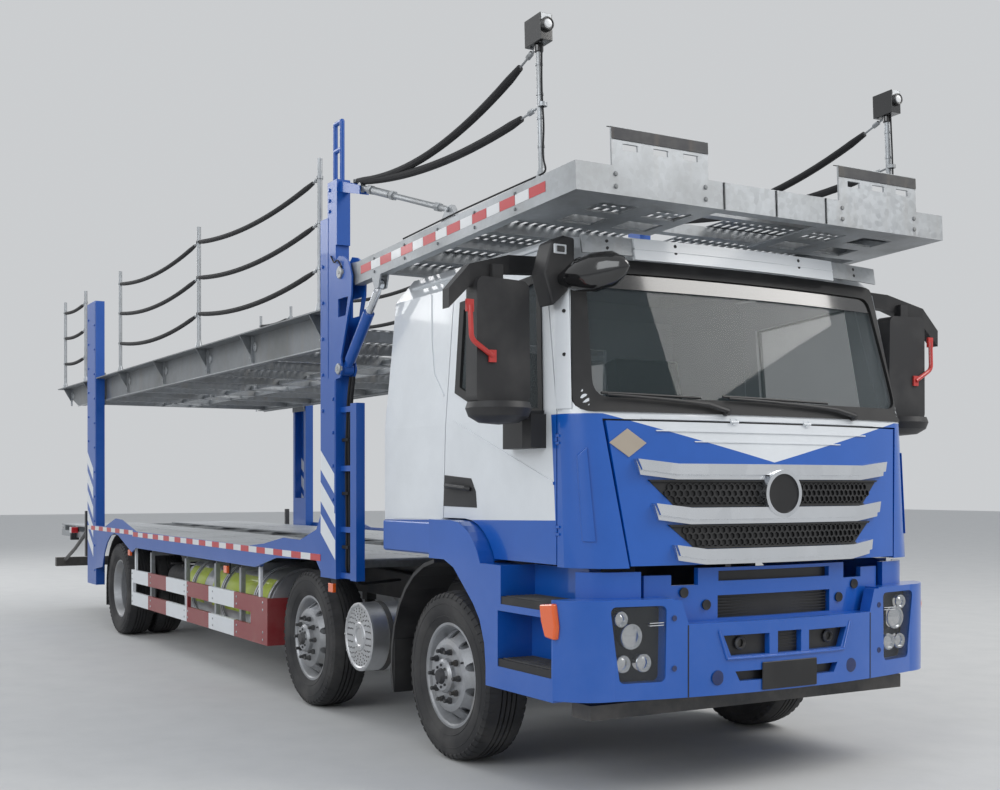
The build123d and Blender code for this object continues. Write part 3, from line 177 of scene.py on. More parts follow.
# %% [markdown]
# ## One way to finish a piece
#
# A piece is named, mirrored if the truck has it on both sides, given clean outward normals, a small
# bevel that catches the light, its material and the body it rides on. Doing this in one place keeps
# every later cell short.


# %% Finish a piece
def mirrored(bm):
    """The same faces again on the other side of the truck."""
    copy = bmesh.ops.duplicate(bm, geom=bm.verts[:] + bm.edges[:] + bm.faces[:])["geom"]
    for item in copy:
        if isinstance(item, bmesh.types.BMVert):
            item.co.y = -item.co.y
    bmesh.ops.reverse_faces(bm, faces=[f for f in copy if isinstance(f, bmesh.types.BMFace)])


def flip(bm):
    """Moves the faces from one side of the truck to the other."""
    for vertex in bm.verts:
        vertex.co.y = -vertex.co.y


def piece(name, bm, material, body, both=False, bevel=0.0, smooth=32, replaces=()):
    """Turns a bmesh into a finished object on its body."""
    if both:
        mirrored(bm)
    bmesh.ops.recalc_face_normals(bm, faces=bm.faces[:])
    mesh = bpy.data.meshes.new(name)
    bm.to_mesh(mesh)
    bm.free()
    mesh.materials.append(material)
    for face in mesh.polygons:
        face.use_smooth = smooth > 0
    if smooth:
        mesh.set_sharp_from_angle(angle=radians(smooth))
    obj = bpy.data.objects.new(name, mesh)
    bpy.context.scene.collection.objects.link(obj)
    if bevel:
        edge = obj.modifiers.new("soft_edges", "BEVEL")
        edge.width, edge.segments, edge.limit_method = bevel, 2, "ANGLE"
        edge.angle_limit, edge.harden_normals = radians(38), True
    if body:
        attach(obj, body)
    if replaces:
        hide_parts(*replaces)
    print(f"{name}: {len(mesh.polygons)} faces")
    return obj


# %% [markdown]
# ## Shader groups that more than one finish shares
#
# Dust, metal grain and moulded grain show up in several finishes. Each is one node group with named
# inputs, so that a finish only sets its own numbers. A group puts out colours, masks and heights;
# the Principled shader stays in the material itself.


# %% Small tools for node trees
def group(name, inputs, outputs):
    """An empty shader group with float or colour sockets."""
    tree = bpy.data.node_groups.new(name, "ShaderNodeTree")
    for label, kind, value in inputs:
        socket = tree.interface.new_socket(label, in_out="INPUT", socket_type=f"NodeSocket{kind}")
        socket.default_value = value
    for label, kind in outputs:
        tree.interface.new_socket(label, in_out="OUTPUT", socket_type=f"NodeSocket{kind}")
    return tree, tree.nodes.new("NodeGroupInput"), tree.nodes.new("NodeGroupOutput")


def node(tree, kind, values=None, **links):
    """A node with its plain settings, its input values and its incoming links."""
    made = tree.nodes.new(f"ShaderNode{kind}")
    for key, value in (values or {}).items():
        setattr(made, key, value)
    for key, value in links.items():
        socket = made.inputs[int(key[1:])] if key[1:].isdigit() else made.inputs[key.replace("_", " ")]
        if isinstance(value, bpy.types.NodeSocket):
            tree.links.new(value, socket)
        else:
            socket.default_value = value
    return made


def math(tree, operation, a, b=0.0, clamp=False):
    """One arithmetic step on two values."""
    return node(tree, "Math", {"operation": operation, "use_clamp": clamp}, i0=a, i1=b).outputs[0]


def mix(tree, factor, a, b):
    """One colour blended into another."""
    made = node(tree, "Mix", {"data_type": "RGBA"})
    for index, value in ((0, factor), (6, a), (7, b)):
        if isinstance(value, bpy.types.NodeSocket):
            tree.links.new(value, made.inputs[index])
        else:
            made.inputs[index].default_value = value
    return made.outputs[2]


def spread(tree, value, low, high, out_low=0.0, out_high=1.0):
    """A value moved from one range to another, held at the ends."""
    return node(tree, "MapRange", i0=value, i1=low, i2=high, i3=out_low, i4=out_high).outputs[0]


# %% [markdown]
# Dust gathers on faces that look up and on the lowest parts, in patches. A group can find both from the
# normal and from the height, so no face has to be painted by hand.

# %% Settled dust
def dust_group():
    """Colour, roughness and fine relief of a dusty surface."""
    tree, start, end = group(
        "settled_dust",
        [("Color", "Color", (0.5, 0.5, 0.5, 1)), ("Dust", "Color", (0.32, 0.29, 0.25, 1)),
         ("Amount", "Float", 0.3), ("Scale", "Float", 3.0), ("Roughness", "Float", 0.4)],
        [("Color", "Color"), ("Roughness", "Float"), ("Height", "Float")],
    )
    place = node(tree, "TexCoord").outputs["Object"]
    cloud = node(tree, "TexNoise", Vector=place, Scale=start.outputs["Scale"], Detail=7.0, Roughness=0.62)
    speck = node(tree, "TexNoise", Vector=place, Scale=140.0, Detail=2.0)
    facing = node(tree, "SeparateXYZ", Vector=node(tree, "NewGeometry").outputs["Normal"]).outputs["Z"]
    height = node(tree, "SeparateXYZ", Vector=place).outputs["Z"]
    upward = spread(tree, facing, 0.1, 0.95)
    low = spread(tree, height, 1.3, 0.2)
    base = math(tree, "ADD", math(tree, "MULTIPLY", upward, 0.55), math(tree, "MULTIPLY", low, 0.45))
    patchy = spread(tree, cloud.outputs[0], 0.36, 0.68)
    film = math(tree, "MULTIPLY", math(tree, "ADD", base, 0.12), patchy)
    amount = math(tree, "MULTIPLY", film, start.outputs["Amount"], clamp=True)
    shade = spread(tree, cloud.outputs[0], 0.3, 0.7, 0.94, 1.05)
    tone = node(tree, "HueSaturation", Value=shade, Color=start.outputs["Color"]).outputs[0]
    tree.links.new(mix(tree, amount, tone, start.outputs["Dust"]), end.inputs["Color"])
    rough = math(tree, "ADD", start.outputs["Roughness"], math(tree, "MULTIPLY", amount, 0.45), clamp=True)
    tree.links.new(rough, end.inputs["Roughness"])
    tree.links.new(speck.outputs[0], end.inputs["Height"])
    return tree


# %% [markdown]
# Hot-dip zinc shows crystals of slightly different grey, duller patches and faint runs. A Voronoi
# texture gives each crystal one value, and two noises add the weather.

# %% Spangled zinc
def zinc_group():
    """Colour, roughness and relief of weathered zinc and of other bare metal."""
    tree, start, end = group(
        "spangled_zinc",
        [("Color", "Color", (0.5, 0.51, 0.52, 1)), ("Cell", "Float", 45.0), ("Contrast", "Float", 0.2),
         ("Stain", "Float", 0.3), ("Roughness", "Float", 0.38)],
        [("Color", "Color"), ("Roughness", "Float"), ("Height", "Float")],
    )
    place = node(tree, "TexCoord").outputs["Object"]
    cells = node(tree, "TexVoronoi", Vector=place, Scale=start.outputs["Cell"])
    tint = node(tree, "SeparateColor", Color=cells.outputs["Color"]).outputs[0]
    cloud = node(tree, "TexNoise", Vector=place, Scale=2.2, Detail=8.0, Roughness=0.65)
    streak_place = node(tree, "Mapping", Vector=place, Scale=(5.0, 5.0, 0.6)).outputs[0]
    streak = node(tree, "TexNoise", Vector=streak_place, Scale=2.0, Detail=5.0)
    half = math(tree, "SUBTRACT", tint, 0.5)
    value = math(tree, "ADD", 1.0, math(tree, "MULTIPLY", half, start.outputs["Contrast"]))
    tone = node(tree, "HueSaturation", Value=value, Color=start.outputs["Color"]).outputs[0]
    dull = math(tree, "MULTIPLY", spread(tree, cloud.outputs[0], 0.42, 0.7), start.outputs["Stain"])
    washed = mix(tree, dull, tone, (0.20, 0.20, 0.19, 1))
    run = math(tree, "MULTIPLY", spread(tree, streak.outputs[0], 0.55, 0.72), 0.35)
    runs = math(tree, "MULTIPLY", run, start.outputs["Stain"])
    tree.links.new(mix(tree, runs, washed, (0.30, 0.24, 0.17, 1)), end.inputs["Color"])
    rough = math(tree, "ADD", start.outputs["Roughness"], math(tree, "MULTIPLY", tint, 0.14))
    rough = math(tree, "ADD", rough, math(tree, "MULTIPLY", dull, 0.3), clamp=True)
    tree.links.new(rough, end.inputs["Roughness"])
    tree.links.new(cloud.outputs[0], end.inputs["Height"])
    return tree


# %% [markdown]
# Moulded plastic, rubber and cloth share a fine regular grain and go a little pale with age. Only the
# grain's size, its depth and how far it fades differ between them.

# %% Moulded grain
def grain_group():
    """Colour, roughness and relief of plastic, rubber, rope and cloth."""
    tree, start, end = group(
        "moulded_grain",
        [("Color", "Color", (0.03, 0.03, 0.03, 1)), ("Scale", "Float", 700.0), ("Fade", "Float", 0.35),
         ("Roughness", "Float", 0.55)],
        [("Color", "Color"), ("Roughness", "Float"), ("Height", "Float")],
    )
    place = node(tree, "TexCoord").outputs["Object"]
    cells = node(tree, "TexVoronoi", {"feature": "SMOOTH_F1"}, Vector=place, Scale=start.outputs["Scale"])
    cloud = node(tree, "TexNoise", Vector=place, Scale=4.0, Detail=6.0)
    pale = math(tree, "MULTIPLY", spread(tree, cloud.outputs[0], 0.45, 0.75), start.outputs["Fade"])
    tree.links.new(mix(tree, pale, start.outputs["Color"], (0.13, 0.125, 0.12, 1)), end.inputs["Color"])
    rough = math(tree, "ADD", start.outputs["Roughness"], math(tree, "MULTIPLY", pale, 0.4), clamp=True)
    tree.links.new(rough, end.inputs["Roughness"])
    tree.links.new(cells.outputs[0], end.inputs["Height"])
    return tree


DUST, ZINC, GRAIN = dust_group(), zinc_group(), grain_group()
print("shader groups:", [g.name for g in (DUST, ZINC, GRAIN)])


# %% [markdown]
# Every finish is one Principled shader fed by one of the groups above. One function builds it, so each
# finish below is a single line of numbers that can be read against its neighbours.

# %% One maker for finishes
def finish(name, shared, settings, bump=0.0, distance=0.001, **shader):
    """A material: a shared group feeds colour, roughness and bump of one Principled shader."""
    material = bpy.data.materials.new(name)
    material.use_nodes = True
    tree = material.node_tree
    surface = tree.nodes["Principled BSDF"]
    for key, value in shader.items():
        surface.inputs[key.replace("_", " ")].default_value = value
    made = tree.nodes.new("ShaderNodeGroup")
    made.node_tree = shared
    for key, value in settings.items():
        made.inputs[key].default_value = value
    tree.links.new(made.outputs["Color"], surface.inputs["Base Color"])
    tree.links.new(made.outputs["Roughness"], surface.inputs["Roughness"])
    if bump:
        relief = node(tree, "Bump", Strength=bump, Distance=distance, Height=made.outputs["Height"])
        tree.links.new(relief.outputs[0], surface.inputs["Normal"])
    return material, made


# %% [markdown]
# ## Two-tone cab paint
#
# The cab is white above and blue below. The line runs almost level along each side, then climbs the
# front corner, and on the nose the white comes down to a point in the middle. The painter masks it on
# the closed cab, so one rule in object coordinates paints shell, doors and service flap alike.

# %% Two-tone rule
WHITE, BLUE = (0.76, 0.79, 0.82, 1), (0.001, 0.098, 0.47, 1)
# x where the line starts, its height there and its rise
SIDE_LINE = (3.6, 1.34, 0.02)
# x of the corner, the height at which it is measured and how far it leans
CORNER_EDGE = (5.588, 1.16, -0.0747)
NOSE_POINT, NOSE_RISE, SILL_LINE = 1.672, 0.232, 1.905
EDGE_SHARPNESS = 900.0
POST_BLUE, GUARD_RED = (0.002, 0.083, 0.40, 1), (0.26, 0.025, 0.03, 1)


def two_tone_group():
    """White above the line and blue below it, by a rule on the place alone."""
    tree, start, end = group("two_tone", [("Upper", "Color", WHITE), ("Lower", "Color", BLUE)],
                             [("Color", "Color"), ("Mask", "Float")])
    axes = node(tree, "SeparateXYZ", Vector=node(tree, "TexCoord").outputs["Object"]).outputs
    x, y, z = axes["X"], axes["Y"], axes["Z"]

    def below(value, line):
        """One under the line, zero over it, with a narrow soft edge."""
        gap = math(tree, "MULTIPLY", math(tree, "SUBTRACT", line, value), EDGE_SHARPNESS)
        return math(tree, "ADD", gap, 0.5, clamp=True)

    rise = math(tree, "MULTIPLY", math(tree, "SUBTRACT", x, SIDE_LINE[0]), SIDE_LINE[2])
    side = below(z, math(tree, "ADD", rise, SIDE_LINE[1]))
    lean = math(tree, "MULTIPLY", math(tree, "SUBTRACT", z, CORNER_EDGE[1]), CORNER_EDGE[2])
    ahead = below(math(tree, "ADD", lean, CORNER_EDGE[0]), x)
    chevron = math(tree, "ADD", math(tree, "MULTIPLY", math(tree, "ABSOLUTE", y), NOSE_RISE), NOSE_POINT)
    nose = below(z, math(tree, "MINIMUM", chevron, SILL_LINE))
    mask = math(tree, "MAXIMUM", side, math(tree, "MULTIPLY", ahead, nose))
    tree.links.new(mix(tree, mask, start.outputs["Upper"], start.outputs["Lower"]), end.inputs["Color"])
    tree.links.new(mask, end.inputs["Mask"])
    return tree


# %% [markdown]
# Lacquered paint is a colour under a thin clear coat. The coat gives the sharp highlight, and the dust
# group dulls it where dirt would lie.

# %% Paint and the cab's two-tone paint
def paint(name, color, dust=0.35, rough=0.30, coat=0.6):
    """Gloss paint under a thin coat, with dust on its upward and low faces."""
    return finish(name, DUST, {"Color": color, "Amount": dust, "Roughness": rough}, 0.06, 0.0004,
                  Coat_Weight=coat, Coat_Roughness=0.06)[0]


def cab_paint():
    """Gloss paint whose colour comes from the two-tone rule."""
    material, dust = finish("two_tone_paint", DUST, {"Amount": 0.08, "Roughness": 0.28}, 0.05, 0.0004,
                            Coat_Weight=0.7, Coat_Roughness=0.05)
    tone = material.node_tree.nodes.new("ShaderNodeGroup")
    tone.node_tree = two_tone_group()
    material.node_tree.links.new(tone.outputs["Color"], dust.inputs["Color"])
    return material


# %% [markdown]
# Three more makers join the paint: glass, bare metal and moulded grain. Each keeps the numbers that
# its finishes share, so that the table which follows only states what differs.

# %% Glass, metal and grain
def glass(name, color, alpha):
    """A tinted pane, seen through by its alpha."""
    material, _ = finish(name, DUST, {"Color": color, "Amount": 0.06, "Roughness": 0.02}, Metallic=0.0,
                         Coat_Weight=0.0)
    material.node_tree.nodes["Principled BSDF"].inputs["Alpha"].default_value = alpha
    return material


def zinc(name, color, cell=45.0, stain=0.3, rough=0.38, contrast=0.2, metallic=0.85):
    """Bare metal: zinc, alloy or chrome by its crystal size, stains and roughness."""
    return finish(name, ZINC, {"Color": color, "Cell": cell, "Stain": stain, "Roughness": rough,
                               "Contrast": contrast}, 0.12, 0.0008, Metallic=metallic)[0]


def plastic(name, color, scale=700.0, fade=0.3, rough=0.5, bump=0.25):
    """A moulded or woven surface by the size of its grain and how far it has faded."""
    return finish(name, GRAIN, {"Color": color, "Scale": scale, "Fade": fade, "Roughness": rough},
                  bump, 0.0004)[0]


# %% [markdown]
# The table names each finish once. Colours are written in linear values, so the numbers look darker
# than the colours on the screen.

# %% Every finish on the truck
LOOKS = {
    "two_tone": cab_paint(),
    "blue": paint("blue_paint", BLUE, 0.14),
    "post_blue": paint("post_blue_paint", POST_BLUE, 0.22, 0.36, 0.35),
    "frame": paint("frame_paint", (0.022, 0.024, 0.028, 1), 0.7, 0.5, 0.1),
    "white": paint("white_paint", WHITE, 0.2),
    "tape_red": paint("tape_red", (0.52, 0.012, 0.02, 1), 0.2, 0.3, 0.3),
    "tape_white": paint("tape_white", (0.74, 0.75, 0.76, 1), 0.2, 0.3, 0.3),
    "orange": paint("marker_orange", (0.85, 0.12, 0.01, 1), 0.1, 0.15, 0.8),
    "hivis": paint("tank_yellow_green", (0.50, 0.62, 0.03, 1), 0.3, 0.35, 0.2),
    "zinc": zinc("galvanised_steel", (0.42, 0.44, 0.46, 1), 38.0, 0.35),
    "zinc_bright": zinc("bright_floor_plate", (0.62, 0.64, 0.66, 1), 60.0, 0.25, 0.3),
    "zinc_dark": zinc("weathered_beam", (0.25, 0.265, 0.28, 1), 30.0, 0.5, 0.45),
    "chrome": zinc("bright_trim", (0.74, 0.76, 0.79, 1), 4.0, 0.1, 0.12, 0.03, 1.0),
    "alloy": zinc("brushed_alloy", (0.60, 0.61, 0.63, 1), 9.0, 0.3, 0.3, 0.08, 0.9),
    "rim": zinc("rim_silver", (0.40, 0.41, 0.43, 1), 90.0, 0.55, 0.36, 0.12, 0.7),
    "plastic": plastic("black_plastic", (0.018, 0.018, 0.02, 1)),
    "mesh": plastic("grille_black", (0.012, 0.012, 0.013, 1), 500.0, 0.1, 0.4),
    "rubber": plastic("seal_rubber", (0.014, 0.014, 0.015, 1), 300.0, 0.2, 0.6),
    "tyre": plastic("tyre_rubber", (0.022, 0.022, 0.024, 1), 180.0, 0.55, 0.72, 0.4),
    "rope": plastic("black_rope", (0.012, 0.012, 0.014, 1), 260.0, 0.1, 0.8, 0.6),
    "seat": plastic("seat_cloth", (0.06, 0.065, 0.08, 1), 420.0, 0.1, 0.9, 0.6),
    "steel": zinc("dark_steel", (0.07, 0.07, 0.075, 1), 60.0, 0.6, 0.5, 0.15, 0.6),
    "guard_bright": paint("bar_red", (0.55, 0.035, 0.03, 1), 0.2, 0.3, 0.4),
    # painted shade: a darker blue for the bumper's screw wells, where the recess lies in shade
    "shade_blue": paint("well_shade_blue", (0.002, 0.018, 0.11, 1), 0.3, 0.4, 0.2),
    "plate": paint("bare_plate", (0.42, 0.36, 0.29, 1), 0.4, 0.5, 0.1),
    "bright": zinc("bright_reflector", (0.86, 0.88, 0.90, 1), 3.0, 0.0, 0.08, 0.02, 1.0),
    "gloss_black": paint("gloss_black", (0.008, 0.008, 0.009, 1), 0.12, 0.12, 0.9),
    "glass": glass("tinted_glass", (0.045, 0.065, 0.07, 1), 0.32),
    "lens": glass("clear_lens", (0.10, 0.11, 0.12, 1), 0.16),
}
print("finishes:", len(LOOKS))

# %% [markdown]
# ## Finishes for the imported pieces
#
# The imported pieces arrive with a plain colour. Their shapes stay as they are; each one only gets the
# finish that its place on the truck has.

# %% Assign finishes by name
FINISH_OF = {
    "chassis_frame": "frame", "engine_block": "steel", "axles": "steel", "leaf_springs": "steel",
    "knuckle": "steel", "tyre": "tyre", "rim": "rim", "cab_shell": "two_tone", "cab_glass": "glass",
    "front_flap": "two_tone", "trim_bars": "chrome", "nose_grille": "mesh", "seats": "seat",
    "dashboard": "plastic", "door_glass": "glass", "door": "two_tone", "mirror": "plastic",
    "bumper_grilles": "mesh", "bumper": "blue", "lamps": "lens", "under_run_bars": "frame",
    "step_housings": "blue",
    "step_treads": "plastic", "mudguards": "plastic", "front_posts": "post_blue", "rear_posts": "post_blue",
    "lower_rails": "post_blue", "lower_deck": "zinc", "side_guards": "white", "fuel_tanks": "alloy",
    "silencer": "alloy", "battery_box": "plastic", "upper_deck": "zinc_dark", "upper_floor": "zinc_bright",
    "railing": "zinc", "cab_deck_floor": "zinc", "cab_deck": "zinc", "braces": "zinc",
    "lift_barrel": "post_blue", "lift_rod": "chrome",
}
for name, obj in NODES.items():
    key = next(k for k in sorted(FINISH_OF, key=len, reverse=True) if name.startswith(k))
    obj.data.materials.clear()
    obj.data.materials.append(LOOKS[FINISH_OF[key]])
print("packed pieces with a finish:", len(NODES))

# %% [markdown]
# ## The cab's curved front
#
# The nose is one shallow arc in plan with a rounder corner on each side, and it leans back as it
# rises. The same few numbers that shaped it say where its surface lies at any width and height, so
# bands, seals and wipers can be wrapped on it.

# %% Where the front surface lies
# height: half width, shoulder x, corner x, corner y, nose x
FRONT = [(1.15, 1.15, 5.65, 5.85, 0.95, 5.95), (1.9, 1.15, 5.61, 5.77, 1.01, 5.86),
         (2.69, 1.09, 5.47, 5.56, 1.01, 5.64), (2.828, 1.0, 5.34, 5.43, 0.93, 5.5)]


def rows_about(z):
    """The rows of FRONT under and over a height, and how far between them it lies."""
    low, high = next((a, b) for a, b in zip(FRONT, FRONT[1:]) if z <= b[0] or b is FRONT[-1])
    return low, high, (z - low[0]) / (high[0] - low[0])


def front_x(y, z):
    """How far forward the cab's front lies at one width and height."""
    low, high, t = rows_about(z)
    half, shoulder, corner_x, corner_y, nose = (a + (b - a) * t for a, b in zip(low[1:], high[1:]))
    y = min(abs(y), half)
    if y <= corner_y:
        drop = nose - corner_x
        radius = (corner_y ** 2 + drop ** 2) / (2 * drop)
        return nose - radius + (radius ** 2 - y ** 2) ** 0.5
    t = (y - corner_y) / (half - corner_y)
    return corner_x + (shoulder - corner_x) * (1 - (1 - t * t) ** 0.5) ** 0.8


def on_front(y, z, lift):
    """A point on the cab's front, raised from it by lift."""
    return front_x(y, z) + lift, y, z


def on_side(x, z, lift):
    """A point on the cab's left side, raised from it by lift."""
    low, high, t = rows_about(z)
    return x, low[1] + (high[1] - low[1]) * t + lift, z


print("nose at the middle, sill height:", round(front_x(0, SILL_LINE), 3))

# %% [markdown]
# Seals, tapes and creases are bands that lie on that surface. A shrinkwrap modifier could press a flat
# band on it, but here each point is placed by the same rule, so the band follows exactly and has a
# back and an edge as well.

# %% Bands wrapped on the front or the side


def wrapped(bm, rows, out, under, closed=False, place=on_front):
    """A band on a curved surface: rows of points on it, raised by out and sunk by under."""
    grids = [[[bm.verts.new(place(a, b, lift)) for a, b in row] for row in rows] for lift in (out, -under)]
    top, low = grids
    count = len(rows[0])
    span = range(count if closed else count - 1)
    for r in range(len(rows) - 1):
        for i in span:
            j = (i + 1) % count
            bm.faces.new((top[r][i], top[r][j], top[r + 1][j], top[r + 1][i]))
            bm.faces.new((low[r][j], low[r][i], low[r + 1][i], low[r + 1][j]))
    for r in (0, len(rows) - 1):
        for i in span:
            j = (i + 1) % count
            bm.faces.new((top[r][i], top[r][j], low[r][j], low[r][i]))
    if not closed:
        for i in (0, count - 1):
            for r in range(len(rows) - 1):
                bm.faces.new((top[r][i], top[r + 1][i], low[r + 1][i], low[r][i]))


def strip(bm, ends_low, ends_high, out, under, step=0.08, place=on_front):
    """A band between a lower and an upper edge, each given by its two ends."""
    last = max(2, round(abs(ends_low[1][0] - ends_low[0][0]) / step) + 1) - 1
    rows = [[(a[0] + (b[0] - a[0]) * i / last, a[1] + (b[1] - a[1]) * i / last) for i in range(last + 1)]
            for a, b in (ends_low, ends_high)]
    wrapped(bm, rows, out, under, place=place)


# %% [markdown]
# The windscreen's outline is wider below than above and has round corners. Its corners are drawn as
# small bends, and points are set along the straight sides too, so that a band on them can curve.

# %% A rounded outline for the windscreen
def loop(half_low, low, half_high, high, round_low=0.05, round_high=0.05):
    """A rounded four-sided outline on the front, from the right bottom corner round."""
    corners = [(-half_low, low), (half_low, low), (half_high, high), (-half_high, high)]
    radii = (round_low, round_low, round_high, round_high)
    outline = []
    for i, (corner, radius) in enumerate(zip(corners, radii)):
        here = Vector((corner[0], corner[1], 0))
        before = Vector((*corners[i - 1], 0))
        after = Vector((*corners[(i + 1) % 4], 0))
        a, b = here + (before - here).normalized() * radius, here + (after - here).normalized() * radius
        for k in range(6):
            t = k / 5
            p = a.lerp(here, t).lerp(here.lerp(b, t), t)
            outline.append((p.x, p.y))
        side = (after - b).length - radii[(i + 1) % 4]
        count = max(1, round(side / 0.09))
        far = after + (here - after).normalized() * radii[(i + 1) % 4]
        outline += [tuple(b.lerp(far, k / count))[:2] for k in range(1, count)]
    return outline


# %% [markdown]
# ## Windscreen and wipers
# 
# A dark rubber seal frames the windscreen. It is a band between two rounded outlines, an outer and an
# inner one with the same count of points. The shade band behind the glass is a plain strip.

# %% Windscreen seal and its shade band
seal = bmesh.new()
outer = loop(1.128, 1.914, 1.045, 2.700, 0.08, 0.07)
inner = loop(1.045, 1.985, 0.985, 2.628, 0.09, 0.07)
inner = [inner[round(i * len(inner) / len(outer)) % len(inner)] for i in range(len(outer))]
wrapped(seal, [outer, inner], 0.009, 0.012, closed=True)
piece("windscreen_seal", seal, LOOKS["rubber"], "chassis")

shade = bmesh.new()
strip(shade, ((-0.99, 2.545), (0.99, 2.545)), ((-0.98, 2.632), (0.98, 2.632)), -0.002, 0.010)
piece("sun_shade_band", shade, LOOKS["gloss_black"], "chassis")

# %% [markdown]
# Each wiper is an arm that thins towards its tip and a blade that lies close to the glass. Both paths
# ask the front rule for their depth, so they bow with the windscreen.

# %% Wipers
WIPER_FOOT_Z, ARM_LIFT, BLADE_LIFT = 1.93, 0.03, 0.008
ARM_SIZES = [0.013, 0.012, 0.010, 0.009, 0.008, 0.008, 0.006]
BLADE_STEPS = 8
wipers = bmesh.new()
for pivot, tip in ((0.62, -0.28), (-0.30, -0.98)):
    path = [(front_x(pivot, WIPER_FOOT_Z) + ARM_LIFT, pivot, WIPER_FOOT_Z)]
    last = len(ARM_SIZES) - 1
    for k in range(1, last + 1):
        y = pivot + (tip - pivot) * k / last
        z = 1.935 + 0.062 * (k / last) ** 0.5
        path.append((front_x(y, z) + ARM_LIFT, y, z))
    sweep(wipers, path, ARM_SIZES, 8)
    rod(wipers, path[0], (path[0][0] - 0.05, pivot, 1.925), 0.022)
    near, far = pivot + (tip - pivot) * 0.2, tip - 0.02
    blade = []
    for i in range(BLADE_STEPS + 1):
        y = near + (far - near) * i / BLADE_STEPS
        blade.append((front_x(y, 2.012) + BLADE_LIFT, y, 1.995 + 0.012 * i / BLADE_STEPS))
    sweep(wipers, blade, 0.007, 6)
piece("wipers", wipers, LOOKS["plastic"], "chassis")

# %% [markdown]
# A metal visor runs over the windscreen in three lengths: a white middle and two bare ends. All three
# are strips on the visor's own slope; its screw holes are tiny dark discs, painted shade in place of the
# holes.

# %% Visor strip over the windscreen, in three lengths
VISOR_HALF, VISOR_SPLIT, VISOR_TOP = 1.02, (-0.735, 0.62), 2.802
VISOR_MIDDLE_OUT = 0.012


def visor_x(y, z):
    """How far forward the visor lies: it stands off the windscreen's head and leans out."""
    return front_x(y, 2.70) + 0.055 + (2.80 - z) * 0.18


def on_visor(y, z, lift):
    """A point on the visor, raised from it by lift."""
    return visor_x(y, z) + lift, y, z


def visor_band(bm, ends, low, high, out, under):
    """A level band on the visor between two heights."""
    strip(bm, [(y, low) for y in ends], [(y, high) for y in ends], out, under, place=on_visor)


# name, ends, how far it stands out, lower edge, feet off its middle, finish
VISORS = [("visor_middle", VISOR_SPLIT, VISOR_MIDDLE_OUT, 2.692, (-0.36, 0.36), "white"),
          ("visor_right", (-VISOR_HALF, VISOR_SPLIT[0]), 0.0, 2.712, (0.0,), "zinc"),
          ("visor_left", (VISOR_SPLIT[1], VISOR_HALF), 0.0, 2.712, (0.0,), "zinc")]
for name, ends, out, low_z, feet, look in VISORS:
    visor = bmesh.new()
    visor_band(visor, ends, low_z, VISOR_TOP, out, 0.012)
    if name == "visor_middle":
        visor_band(visor, ends, 2.745, 2.752, out + 0.004, 0.0)
    for y in ((ends[0] + ends[1]) / 2 + foot for foot in feet):
        depth = (front_x(y, 2.75) - 0.02, visor_x(y, 2.75) - 0.008)
        block(visor, depth, (y - 0.02, y + 0.02), (2.735, 2.765))
    piece(name, visor, LOOKS[look], "chassis")
# dark discs on the visor: painted shade where the screw holes are
holes = bmesh.new()
for y in (-0.88, -0.49, 0.35, 0.82):
    for z in (2.742, 2.778):
        x = visor_x(y, z) + (0.0135 if VISOR_SPLIT[0] < y < VISOR_SPLIT[1] else 0.0015)
        rod(holes, (x - 0.012, y, z), (x, y, z), 0.009, 12)
piece("visor_holes", holes, LOOKS["mesh"], "chassis")

# %% [markdown]
# A dark pod fills the corner beside the windscreen's head and carries a small square lamp. Blocks and a
# six-sided prism are enough, because a bevel rounds their edges.

# %% Roof block and corner pod
roof_block = bmesh.new()
block(roof_block, (5.15, 5.265), (0.14, 0.335), (2.828, 2.868))
piece("roof_block", roof_block, LOOKS["blue"], "chassis", bevel=0.008)

pod = bmesh.new()
prism(pod, [(-1.165, 2.44), (-1.075, 2.52), (-1.035, 2.66), (-1.035, 2.79), (-1.10, 2.795), (-1.17, 2.76),
            (-1.215, 2.60)], "x", 5.44, 5.575)
piece("corner_pod", pod, LOOKS["plastic"], "chassis", bevel=0.014)
pod_lamp = bmesh.new()
block(pod_lamp, (5.575, 5.583), (-1.165, -1.090), (2.700, 2.748))
piece("pod_lamp_frame", pod_lamp, LOOKS["white"], "chassis", bevel=0.004)
pod_glass = bmesh.new()
block(pod_glass, (5.583, 5.589), (-1.150, -1.105), (2.709, 2.738))
piece("pod_lamp", pod_glass, LOOKS["gloss_black"], "chassis", bevel=0.003)

# %% [markdown]
# The kerb mirror looks down beside the cab from a wing-shaped housing. Its section is an ellipse that
# swells and shrinks along the wing, so rings of points are set at six places and joined.

# %% Kerb mirror
# distance along the wing, half height, half thickness
WING = [(0.0, 0.030, 0.030), (0.09, 0.075, 0.055), (0.22, 0.098, 0.062), (0.33, 0.085, 0.05),
        (0.40, 0.045, 0.03), (0.425, 0.012, 0.01)]
WING_STEPS = 20
kerb = bmesh.new()
root, tip = Vector((5.57, -1.115, 2.575)), Vector((5.955, -0.985, 2.602))
along = (tip - root).normalized()
across = along.cross(Vector((0, 0, 1))).normalized()
up = across.cross(along)
rings = []
for distance, tall, thick in WING:
    centre = root + (tip - root) * (distance / WING[-1][0])
    turns = [2 * pi * k / WING_STEPS for k in range(WING_STEPS)]
    rings.append([kerb.verts.new(centre + across * thick * cos(a) + up * tall * sin(a)) for a in turns])
for low, high in zip(rings, rings[1:]):
    for k in range(WING_STEPS):
        j = (k + 1) % WING_STEPS
        kerb.faces.new((low[k], low[j], high[j], high[k]))
kerb.faces.new(rings[0])
kerb.faces.new(rings[-1])
piece("kerb_mirror", kerb, LOOKS["gloss_black"], "chassis", smooth=50)

# %% [markdown]
# White strips cover the windscreen's pillars. They are wrapped bands again, this time upright, with
# two screws in each.

